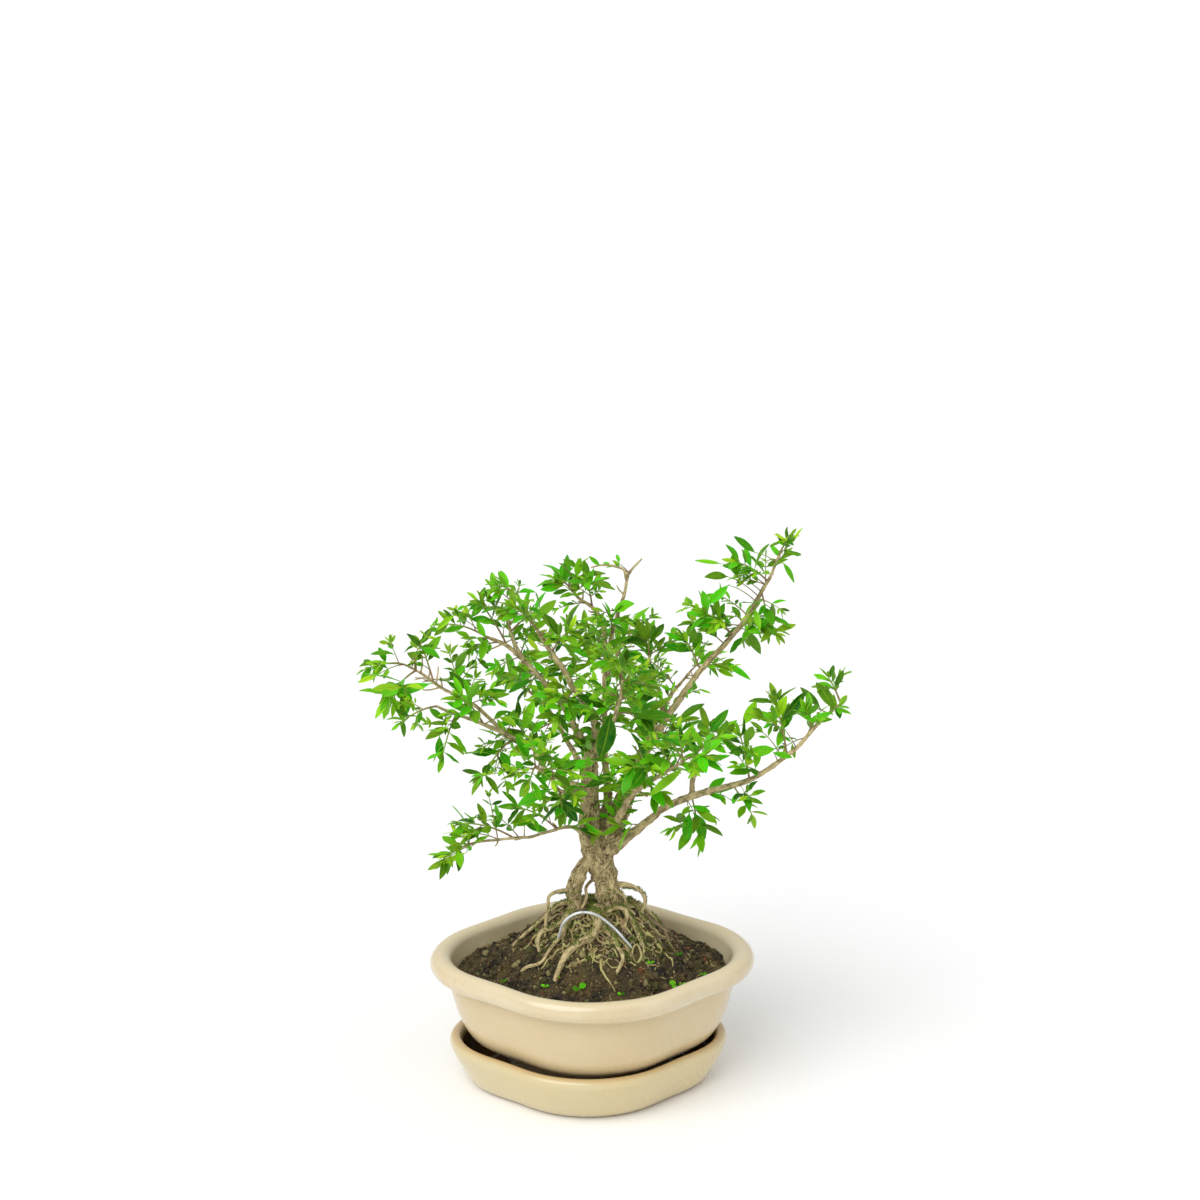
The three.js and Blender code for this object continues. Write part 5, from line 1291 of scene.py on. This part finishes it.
def bare_twigs():
    """Short leafless twigs that stick out of the thinner limbs, some of them forked."""
    rng, runs = random.Random(TWIG_SEED), []
    without = ("trunk", "arch_root", "bare_tip_left", "bare_tip_right")
    limbs = [name for name in LIMBS if name not in without]
    for number in range(TWIG_COUNT):
        limb = rng.choice(limbs)
        at = rng.uniform(1.6, len(LIMBS[limb]) - 1.05)
        foot = limb_point(limb, at)
        heading = unit(limb_point(limb, at + 0.05) - foot)
        outward = unit(np.cross(heading, np.array([rng.gauss(0, 1), rng.gauss(0, 1), rng.gauss(0, 1)])))
        direction = unit(outward + 0.5 * heading + 0.35 * UP)
        length = rng.uniform(3.0, 9.0)
        bend, tip = foot + direction * length * 0.5 + outward * 0.5, foot + direction * length
        line = crooked(smooth_run([(*foot, 0.55), (*bend, 0.42), (*tip, 0.3)], 0.9), 0.5, 3.0, number + 300)
        runs.append(line)
        if length > 6.5:
            fork = unit(direction + 0.9 * np.cross(direction, outward) * rng.choice((-1, 1)))
            start = line[len(line) // 2]
            runs.append(smooth_run([(*start[:3], 0.36), (*(start[:3] + fork * length * 0.4), 0.24)], 0.9))
    return runs


class BONSAI_OT_wood(bpy.types.Operator):
    """Furrowed trunk, arched root, limbs, twigs and surface roots"""

    bl_idname = "bonsai.wood"
    bl_label = "Wood"

    def execute(self, context):
        settings = context.scene.bonsai_wood
        thick, thin = [], []
        for number, points in enumerate([*LIMBS.values(), *ROOTS.values(), *SMALL_ROOTS.values()]):
            run = crooked(smooth_run(points, 0.9), 0.35, 9.0, number)
            if 1 <= number < len(LIMBS):
                run[:, 3] *= 0.86
            root = number >= len(LIMBS)
            fat = np.nonzero(run[:, 3] >= (0.95 if root else 1.25))[0]
            if max(run[:, 3]) < 1.35 and not root:
                thin.append(knotted(run, 5.5, number))
                continue
            last = fat[-1] + 1
            thick.append(knotted(run[:last], 9.0, number) if not root else run[:last])
            if last < len(run) - 2:
                thin.append(knotted(run[last - 3:], 6.0, number))
        thin += bare_twigs()
        moss = context.scene.bonsai_soil.moss
        bark = bark_finish("bark", settings.fissure, settings.bark, settings.ridge, moss)
        trunk = tubes("bark_wood", thick, 16)
        apply_modifier(trunk, "REMESH", mode="VOXEL", voxel_size=settings.voxel)
        apply_modifier(trunk, "SMOOTH", factor=0.5, iterations=3)
        furrow(trunk, thick, settings.furrows, True)
        finish(trunk, bark, "bark", "tree_wood")
        twigs = tubes("bark_twigs", thin, 8)
        furrow(twigs, thin, settings.furrows)
        finish(twigs, bark, "bark", "tree_wood")
        return {"FINISHED"}


def young_root_runs(ground, number):
    """Short pale roots that curl over the mound and dip in and out of it."""
    rng, runs = random.Random(YOUNG_ROOT_SEED), []
    for _ in range(number):
        bearing, distance = rng.uniform(0, 2 * math.pi), rng.uniform(11, 33)
        x, y = 6 + distance * math.cos(bearing), -4 + distance * math.sin(bearing) * 0.92
        heading, curl = bearing + rng.gauss(0, 0.9), rng.gauss(0, 0.22)
        steps, thickness, rise = rng.randint(8, 20), rng.uniform(0.28, 0.75), rng.uniform(0.2, 2.4)
        run = []
        for step in range(steps):
            heading += curl + rng.gauss(0, 0.12)
            x, y = x + 0.85 * math.cos(heading), y + 0.85 * math.sin(heading)
            height, _ = ground(x, y)
            if height is None:
                break
            share = step / (steps - 1)
            lift = rise * math.sin(math.pi * share) - 0.5
            run.append((x, y, height + lift, thickness * (1.1 - 0.45 * share)))
        if len(run) > 5:
            runs.append(np.array(run))
    return runs


class BONSAI_OT_fine_roots(bpy.types.Operator):
    """Thin yellow-brown roots that creep over the mound"""

    bl_idname = "bonsai.fine_roots"
    bl_label = "Fine roots"

    def execute(self, context):
        ground = ground_of(bpy.data.objects["soil_bed"])
        rng, runs = random.Random(HAIR_ROOT_SEED), []
        for number in range(context.scene.bonsai_soil.hair_roots):
            bearing = rng.uniform(0, 2 * math.pi)
            near, far = rng.uniform(7, 18), rng.uniform(24, 46)
            arch, swing = rng.choice((0, 0.4, 0.8, 2.2)), rng.uniform(-0.5, 0.5)
            thickness = rng.uniform(0.25, 0.55)
            run = []
            for share in np.linspace(0, 1, 26):
                distance = near + (far - near) * share
                heading = bearing + swing * share + 0.35 * noise.noise((share * 4, number * 3.1, 0))
                x = 7 + distance * math.cos(heading) * 1.05
                y = -2 + distance * math.sin(heading) * 0.95
                height, _ = ground(x, y)
                if height is None:
                    break
                lift = 0.5 + arch * math.sin(math.pi * share) - 2.2 * max(0, share - 0.86) / 0.14
                run.append((x, y, height + lift - 1.5 * (share < 0.03), thickness * (1.15 - 0.5 * share)))
            if len(run) > 8:
                runs.append(np.array(run))
        roots = tubes("fine_roots", runs, 6)
        furrow(roots, runs, HAIR_FURROWS)
        finish(roots, bpy.data.materials["bark"], "bark")
        curls = young_root_runs(ground, context.scene.bonsai_soil.young_roots)
        young = tubes("young_roots", curls, 6)
        ages = [0.35 + 0.6 * noise.noise(point * 0.3) for point in points_of(young)]
        set_marks(young, "tone", [(0.0, age, 0.0) for age in ages])
        finish(young, shoot_finish("young_root", colour(*ROOT_FOOT), colour(*ROOT_TIP)), "bark")
        return {"FINISHED"}


class BONSAI_OT_moss(bpy.types.Operator):
    """Moss blades in patches on the soil and on the foot of the wood"""

    bl_idname = "bonsai.moss"
    bl_label = "Moss"

    def execute(self, context):
        settings = context.scene.bonsai_soil
        deselect()
        bpy.ops.mesh.primitive_cone_add(vertices=3, radius1=0.18 * MM, radius2=0, depth=MM)
        cone = context.object
        blade = points_of(cone) + np.array([0, 0, 0.5])
        blade[:, 0] *= 1.9
        pattern = [(blade, faces_of(cone))]
        bpy.data.objects.remove(cone)
        trees = [BVHTree.FromObject(bpy.data.objects[name], context.evaluated_depsgraph_get())
            for name in ("soil_bed", "bark_wood")]
        rng, places = random.Random(MOSS_SEED), []
        while len(places) < settings.moss_blades:
            angle, share = rng.uniform(0, 2 * math.pi), math.sqrt(rng.random())
            wide = rng.random() < 0.82
            spread = (36, 31) if wide else (68, 54)
            x, y = 5 + spread[0] * share * math.cos(angle), -3 + spread[1] * share * math.sin(angle)
            patch = noise.noise((x * 0.16, y * 0.16, 9.0)) + (0.32 if wide else -0.1) - 0.25 * share
            if patch < rng.uniform(-0.05, 0.25):
                continue
            start = Vector((x * MM, y * MM, BELOW_CROWN))
            hits = [tree.ray_cast(start, Vector((0, 0, -1))) for tree in trees]
            hits = [(hit.z / MM, normal) for hit, normal, _, _ in hits if hit]
            if not hits:
                continue
            height, normal = max(hits, key=lambda found: found[0])
            lean = unit(np.array(normal) + np.array([rng.gauss(0, 0.5), rng.gauss(0, 0.5), 0.45]))
            side = unit(np.cross(lean, np.array([rng.gauss(0, 1), rng.gauss(0, 1), 0.1])))
            size = rng.uniform(0.6, 1.7)
            matrix = np.stack([side, np.cross(lean, side), lean * size], 1)
            mark = (rng.random() ** 2, 0.8 * (rng.random() > 0.9), 0)
            places.append((0, matrix, np.array([x, y, height - 0.2]), mark))
        moss = moss_finish("moss", settings.moss, settings.moss_tips)
        finish(copies("moss_tufts", pattern, places), moss, "soil", smooth_angle=40)
        return {"FINISHED"}


class BONSAI_OT_tie_wire(bpy.types.Operator):
    """Loose white tie wire looped over the front roots"""

    bl_idname = "bonsai.tie_wire"
    bl_label = "Tie wire"

    def execute(self, context):
        run = smooth_run([(*point, 0.9 * WIRE_RADIUS) for point in WIRE_ROUTE], 0.8)
        wire = tubes("tie_wire_loop", [run], 16)
        finish(wire, wire_finish("white_wire", context.scene.bonsai_wood.wire), "wire", "tie_wire")
        return {"FINISHED"}


# ---- leaves


def leaf_pattern():
    """The pattern of one leaf, half a width to each side of x = 0 and from 0 to 1 along y."""
    deselect()
    bpy.ops.mesh.primitive_grid_add(x_subdivisions=4, y_subdivisions=8, size=2)
    leaf = bpy.context.object
    points = points_of(leaf) * MM
    rows = np.rint((points[:, 1] + 1) * 4).astype(int)
    points[:, 0] *= np.array(LEAF_HALF_WIDTH)[rows]
    points[:, 1] = np.array(LEAF_ALONG)[rows]
    set_points(leaf, points / MM)
    bpy.ops.object.mode_set(mode="EDIT")
    bpy.ops.mesh.select_all(action="SELECT")
    bpy.ops.mesh.remove_doubles(threshold=1e-4)
    bpy.ops.object.mode_set(mode="OBJECT")
    apply_modifier(leaf, "SOLIDIFY", thickness=1.0, offset=0.0, use_rim=True)
    points = points_of(leaf) * MM
    points[:, 2] = np.sign(points[:, 2]) * 0.5
    faces = faces_of(leaf)
    bpy.data.objects.remove(leaf)
    return points, faces


def leaf_points(pattern, base, direction, facing, length, width, thickness, droop, rng):
    """One leaf: folded along its midrib, drooping, a little twisted and wavy at its edge."""
    direction = unit(direction)
    across = unit(np.cross(direction, facing))
    normal = np.cross(across, direction)
    side, along, layer = pattern.T
    x = side * width / 2
    fold, twist, curl = rng.uniform(0.05, 0.55), rng.gauss(0, 0.35), rng.gauss(0, 0.08)
    wave, phase = rng.uniform(0.0, 0.1), rng.uniform(0, 6.28)
    z = fold * np.abs(x) - droop * length * along**2 + layer * thickness
    z += wave * width * np.sin(along * 11 + phase) * side**2
    turn = twist * along
    x, z = x * np.cos(turn) - z * np.sin(turn), x * np.sin(turn) + z * np.cos(turn)
    x = x + curl * length * along**2
    return base + np.outer(x, across) + np.outer(along * length, direction) + np.outer(z, normal)


class Spray:
    """Leaves and shoots of one leafy spray, gathered before they become a mesh."""

    def __init__(self, pattern, seed, size):
        self.pattern, self.size = pattern, size
        self.rng = random.Random(seed)
        self.leaves, self.tones, self.runs, self.ages = [], [], [], []
        self.tone = self.rng.uniform(0.05, 0.8)
        grown = bpy.context.scene.bonsai_leaf
        self.length, self.slimness, self.thickness = grown.length / MM, grown.slimness, grown.thickness / MM

    def leaf(self, base, direction, facing, length, age=0.0, slimness=None, droop=None):
        """Adds a leaf with its tone and age."""
        rng = self.rng
        droop = rng.uniform(0.05, 0.24) if droop is None else droop
        if abs(np.dot(unit(facing), unit(direction))) > 0.85:
            facing = np.array([-direction[1], direction[0], 0.4])
        width = length * (slimness or self.slimness) * rng.uniform(0.88, 1.14)
        self.leaves.append(leaf_points(self.pattern[0], base, direction, facing, length, width,
            self.thickness, droop, rng))
        tone = min(max(self.tone + rng.gauss(0, 0.42), 0), 1)
        self.tones.append((tone, min(max(age + rng.gauss(0, 0.2), 0), 1), 0.0))

    def shoot(self, curve, radius, foot_age=0.0, tip_age=1.0):
        """Adds a shoot that tapers and turns green towards its tip."""
        taper = np.linspace(1.0, 0.62, len(curve))
        self.runs.append(np.hstack([curve, (radius * taper)[:, None]]))
        self.ages.append((foot_age, tip_age))

    def pairs(self, curve, shares, sizes, age, start=0.0):
        """Opposite leaf pairs along a curve, each pair a quarter turn from the last."""
        rng, turn = self.rng, start
        for share, size in zip(shares, sizes):
            base, heading = spot_on(curve, share * (len(curve) - 1))
            level = unit(np.cross(heading, UP) + 1e-3)
            for half in (0, math.pi):
                if rng.random() < 0.12:
                    continue
                outward = turned(level, heading, turn + half + rng.gauss(0, 0.3))
                opening = math.radians(rng.uniform(*PAIR_OPENING))
                direction = heading * math.cos(opening) + outward * math.sin(opening)
                direction = direction * FLATTEN + UP * rng.gauss(0.12, 0.16)
                facing = UP + np.array([rng.gauss(0, 0.4), rng.gauss(-0.45, 0.4), 0])
                grown = rng.choice(PAIR_LENGTHS) * rng.uniform(0.9, 1.1)
                length = grown * self.length * self.size * size
                self.leaf(base + outward * 0.3, direction, facing, length, age + 0.25 * share)
            turn += math.pi / 2

    def rosette(self, curve, size):
        """Small young leaves at the tip of a shoot."""
        rng = self.rng
        heading = unit(curve[-1] - curve[-2])
        level = unit(np.cross(heading, UP) + 1e-3)
        for number in range(rng.choice((2, 3, 3, 4))):
            outward = turned(level, heading, number * 2.2 + rng.gauss(0, 0.3))
            opening = math.radians(rng.uniform(14, 48))
            direction = heading * math.cos(opening) + outward * math.sin(opening)
            facing = UP * 0.8 - outward * 0.5
            length = self.length * self.size * size * rng.uniform(0.25, 0.62)
            self.leaf(curve[-1] - heading * 0.4, direction, facing, length, rng.uniform(0.2, 0.9), 0.3)

    def piece(self, name, leaf_material, shoot_material, *nodes):
        """Turns what was gathered into one mesh on the frame."""
        count = len(self.pattern[0])
        faces = [tuple(corner + count * leaf for corner in face) for leaf in range(len(self.leaves))
            for face in self.pattern[1]]
        obj = mesh_piece(name, np.vstack(self.leaves), faces)
        side, along, layer = self.pattern[0].T
        edge = np.interp(along, LEAF_ALONG, (*LEAF_HALF_WIDTH[:-1], 0.01))
        blade = np.stack([np.clip(side / edge, -1, 1), along, (layer < 0).astype(float)], 1)
        set_marks(obj, "blade", np.tile(blade, (len(self.leaves), 1)))
        set_marks(obj, "tone", np.repeat(np.array(self.tones), count, axis=0))
        obj.data.materials.append(leaf_material)
        finish(obj, None, "foliage", *nodes, smooth_angle=50)
        stems = tubes(name + "_stems", self.runs, 6)
        points = points_of(stems)
        run_of = np.argmin(np.stack([np.linalg.norm(points[:, None] - run[None, :, :3], axis=2).min(1)
            for run in self.runs]), axis=0)
        ages = np.zeros(len(points))
        for number, (run, (foot, tip)) in enumerate(zip(self.runs, self.ages)):
            mine = run_of == number
            near = np.argmin(np.linalg.norm(points[mine][:, None] - run[None, :, :3], axis=2), axis=1)
            ages[mine] = foot + (tip - foot) * near / (len(run) - 1)
        set_marks(stems, "tone", np.stack([ages * 0, ages, ages * 0], 1))
        set_marks(stems, "blade", np.zeros((len(points), 3)))
        stems.data.materials.append(shoot_material)
        bpy.ops.object.shade_smooth_by_angle(angle=math.pi)
        joined(obj, stems)
        deselect()
        return obj


def arched(base, tip, rise=0.16, steps=14):
    """A gently arched line from a shoot's foot to its tip."""
    middle = (base + tip) / 2 + UP * np.linalg.norm(tip - base) * rise
    shares = np.linspace(0, 1, steps)[:, None]
    return base * (1 - shares) ** 2 + middle * 2 * shares * (1 - shares) + tip * shares**2


def main_leaves(spray, curve, seed):
    """The leaves of the part's own solid, in their places and at their angles, a little shorter."""
    base, tip = curve[0], curve[-1]
    length = np.linalg.norm(np.diff(curve, axis=0), axis=1).sum()
    half = 0.7 / length
    twist = math.radians(20 + 40 * roll(seed))
    whole = unit(np.cross(unit(tip - base), UP))
    for number, (pair, face, opening, size) in enumerate(LEAF_PLACES):
        share = min(LEAF_NODES[pair], 0.995 - half)
        middle, heading = spot_on(curve, share * (len(curve) - 1))
        level = turned(unit(whole - heading * np.dot(whole, heading)), heading, twist)
        outward = turned(level, heading, math.radians(90 + 90 * face))
        grown_leaf(spray, middle + outward * 0.35, heading, outward, opening, size, seed + 7 * number)
    end = unit(curve[-1] - curve[-2])
    grown_leaf(spray, tip, end, end, TIP_OPENING, TIP_SIZE, seed + 7 * len(LEAF_PLACES))


def grown_leaf(spray, base, heading, outward, opening, size, seed):
    """One leaf by the part's own rule."""
    draw = [roll(seed + step) - 0.5 for step in range(6)]
    angle = math.radians(opening + 26 * draw[1])
    leaning = turned(outward, heading, math.radians(40 * draw[2]))
    direction = heading * math.cos(angle) + leaning * math.sin(angle)
    if opening > 10:
        direction = direction + UP * 0.12
    facing = UP - 0.4 * heading + np.array([0.9 * draw[3], 0.9 * draw[4] - 0.35, 0])
    length = 0.8 * spray.length * spray.size * size * (1 + 0.3 * draw[5])
    age, droop = 0.1 + 0.3 * (size < 0.8), 0.06 + 0.16 * roll(seed + 6)
    spray.leaf(base, unit(direction), facing, length, age, droop=droop)


def leafy_shoot(spray, foot, tip, size, radius=0.36):
    """A thin shoot with as many leaf pairs as its length allows and young leaves at its tip."""
    rng = spray.rng
    length = np.linalg.norm(tip - foot)
    curve = arched(foot, tip, rng.uniform(0.02, 0.2), 10)
    spray.shoot(curve, radius, 0.1, 1.0)
    count = max(2, round(length / 4.6))
    shares = np.linspace(min(0.5, 5.0 / length), 0.93, count)
    sizes = size * np.linspace(1.05, 0.72, count)
    spray.pairs(curve, shares, sizes, 0.08, start=rng.uniform(0, 3))
    spray.rosette(curve, 0.9 * size)


def side_shoots(spray, curve, count):
    """Short leafy shoots that fork from a spray's own shoot."""
    rng = spray.rng
    for number in range(count):
        first = int(rng.uniform(0.2, 0.66) * (len(curve) - 1))
        heading = unit(curve[first + 1] - curve[first])
        level = unit(np.cross(heading, UP) + 1e-3)
        outward = turned(level, heading, number * math.pi + rng.gauss(0, 0.8))
        direction = unit(heading * 0.6 + outward * 0.8 + UP * rng.uniform(-0.15, 0.45))
        tip = curve[first] + direction * rng.uniform(8, 15) * spray.size
        leafy_shoot(spray, curve[first], tip, 0.85, 0.3)


def single_leaf(spray, start, foot, tip, width, bright, young):
    """One leaf from foot to tip, held out from a limb by a thin shoot."""
    blade = tip - foot
    length = np.linalg.norm(blade)
    curve = arched(start, foot + blade * 0.03, 0.15, 10)
    spray.shoot(curve, 0.32, 0.1, 0.9)
    facing = np.array([0.0, -0.8, 0.55])
    spray.tone = bright
    spray.leaf(foot, blade, facing, length, young, width / length, 0.08)
    if np.linalg.norm(foot - start) > 9:
        spray.pairs(curve, (0.6,), (0.6,), 0.1)


class BONSAI_OT_foliage(bpy.types.Operator):
    """Fifty leafy sprays in the places of the frame's, and lesser sprays and single leaves between them"""

    bl_idname = "bonsai.foliage"
    bl_label = "Foliage"

    def execute(self, context):
        settings = context.scene.bonsai_leaf
        pattern = leaf_pattern()
        leaf = leaf_finish("serissa_leaf", settings.green, settings.deep, settings.young, settings.underside)
        shoot = shoot_finish("young_shoot", colour(*TWIG_BROWN), colour(*SHOOT_GREEN))
        for number, (limb, at, tip, size) in enumerate(SPRAYS):
            seed = SPRAY_SEED * (number + 1)
            spray = Spray(pattern, seed, size)
            curve = arched(limb_point(limb, at), np.array(tip, float))
            spray.shoot(curve, 0.55)
            main_leaves(spray, curve, seed)
            spray.pairs(curve, (0.44,), (1.0,), 0.0, start=spray.rng.uniform(0, 3))
            side_shoots(spray, curve, 2)
            spray.rosette(curve, 0.8)
            spray.piece(f"leafy_spray_{number + 1:02d}", leaf, shoot, f"spray_{number + 1:02d}")
        for number, (limb, at, tip, size) in enumerate(LESSER_SPRAYS):
            spray = Spray(pattern, LESSER_SPRAY_SEED + number, size)
            foot, tip = limb_point(limb, at), np.array(tip, float)
            leafy_shoot(spray, foot, tip, 1.0, 0.45)
            side_shoots(spray, arched(foot, tip), 1)
            spray.piece(f"lesser_spray_{number + 1:02d}", leaf, shoot)
        for limb in sorted({row[0] for row in SHOOTS}):
            spray = Spray(pattern, sum(map(ord, limb)), 1.0)
            for _, at, tip, size in (row for row in SHOOTS if row[0] == limb):
                spray.tone = spray.rng.uniform(0.15, 0.85)
                leafy_shoot(spray, limb_point(limb, at), np.array(tip, float), size * 1.15)
            for _, at, foot, tip, width, bright, young in (row for row in SINGLE_LEAVES if row[0] == limb):
                single_leaf(spray, limb_point(limb, at), np.array(foot), np.array(tip), width, bright, young)
            spray.piece("shoots_" + limb, leaf, shoot)
        return {"FINISHED"}


class BONSAI_OT_litter(bpy.types.Operator):
    """Seedlings, bark slivers, a pale splinter and straw on the soil"""

    bl_idname = "bonsai.litter"
    bl_label = "Litter"

    def execute(self, context):
        ground = ground_of(bpy.data.objects["soil_bed"])
        pattern = leaf_pattern()
        leaf, shoot = bpy.data.materials["serissa_leaf"], bpy.data.materials["young_shoot"]
        seedlings = Spray(pattern, SEEDLING_SEED, 1.0)
        seedlings.tone = 0.4
        for x, y, size in SEEDLINGS:
            height, _ = ground(x, y)
            foot = np.array([x, y, height - 0.5])
            top = foot + np.array([0.4, -0.4, 0.7 + size * 0.45])
            seedlings.shoot(arched(foot, top, 0.05, 5), 0.22, 0.9, 1.0)
            for turn in (0.4, 3.5):
                direction = np.array([math.cos(turn + x), math.sin(turn + x) * 0.8, 0.35])
                seedlings.leaf(top, direction, UP + np.array([0, -0.6, 0]), size, 0.05, 0.7, 0.1)
        seedlings.piece("seedlings", leaf, shoot)
        deselect()
        bpy.ops.mesh.primitive_grid_add(x_subdivisions=2, y_subdivisions=5, size=2 * MM)
        chip = context.object
        points = points_of(chip)
        points[:, 0] *= 0.5 * (1.15 - points[:, 1] ** 2) + 0.1
        points[:, 2] += 0.25 * points[:, 1] ** 2
        set_points(chip, points)
        apply_modifier(chip, "SOLIDIFY", thickness=0.35 * MM)
        apply_modifier(chip, "BEVEL", width=0.06 * MM, segments=1)
        patterns = [(points_of(chip), faces_of(chip))]
        bpy.data.objects.remove(chip)
        rng, places = random.Random(LITTER_SEED), []
        strewn = [(rng.uniform(-55, 58), rng.uniform(-42, 42), rng.uniform(0.8, 2.0), rng.uniform(0.2, 0.5),
            rng.uniform(0, 3), rng.choice((STRAW, STRAW, ORANGE_BARK, PALE_SPLINTER))) for _ in range(46)]
        for x, y, length, width, turn, tint in (*SLIVERS, *strewn):
            height, _ = ground(x, y)
            if height is None:
                continue
            tilt = rng.uniform(-0.2, 0.2)
            along = np.array([math.cos(turn), math.sin(turn), tilt])
            side = unit(np.cross(UP, along))
            matrix = np.stack([side * width, along * length, np.cross(side, along)], 1)
            places.append((0, matrix, np.array([x, y, height + 0.5]), colour(*tint)[:3]))
        finish(copies("bark_slivers", patterns, places), litter_finish("dry_litter"), "bark", smooth_angle=40)
        return {"FINISHED"}


OPERATORS = (BONSAI_OT_stage, BONSAI_OT_pot, BONSAI_OT_tray, BONSAI_OT_soil, BONSAI_OT_wood,
    BONSAI_OT_fine_roots, BONSAI_OT_moss, BONSAI_OT_tie_wire, BONSAI_OT_foliage, BONSAI_OT_litter)
SETTINGS = {"bonsai_pot": BonsaiPotSettings, "bonsai_soil": BonsaiSoilSettings,
    "bonsai_wood": BonsaiWoodSettings, "bonsai_leaf": BonsaiLeafSettings, "bonsai_stage": BonsaiStageSettings}


class BONSAI_PT_pieces(bpy.types.Panel):
    """Buttons for each piece and its settings"""

    bl_idname = "BONSAI_PT_pieces"
    bl_label = "Serissa bonsai"
    bl_space_type = "VIEW_3D"
    bl_region_type = "UI"
    bl_category = "Bonsai"

    def draw(self, context):
        for name, group in SETTINGS.items():
            box = self.layout.box()
            box.label(text=group.__doc__)
            for setting in group.__annotations__:
                box.prop(getattr(context.scene, name), setting)
        for operator in OPERATORS:
            self.layout.operator(operator.bl_idname)


def register():
    for made in (*SETTINGS.values(), *OPERATORS, BONSAI_PT_pieces):
        bpy.utils.register_class(made)
    for name, group in SETTINGS.items():
        setattr(bpy.types.Scene, name, bpy.props.PointerProperty(type=group))


def unregister():
    for name in SETTINGS:
        delattr(bpy.types.Scene, name)
    for made in reversed((*SETTINGS.values(), *OPERATORS, BONSAI_PT_pieces)):
        bpy.utils.unregister_class(made)


def main():
    """Makes every piece in order."""
    register()
    for operator in OPERATORS:
        group, name = operator.bl_idname.split(".")
        getattr(getattr(bpy.ops, group), name)()


if __name__ == "__main__":
    main()
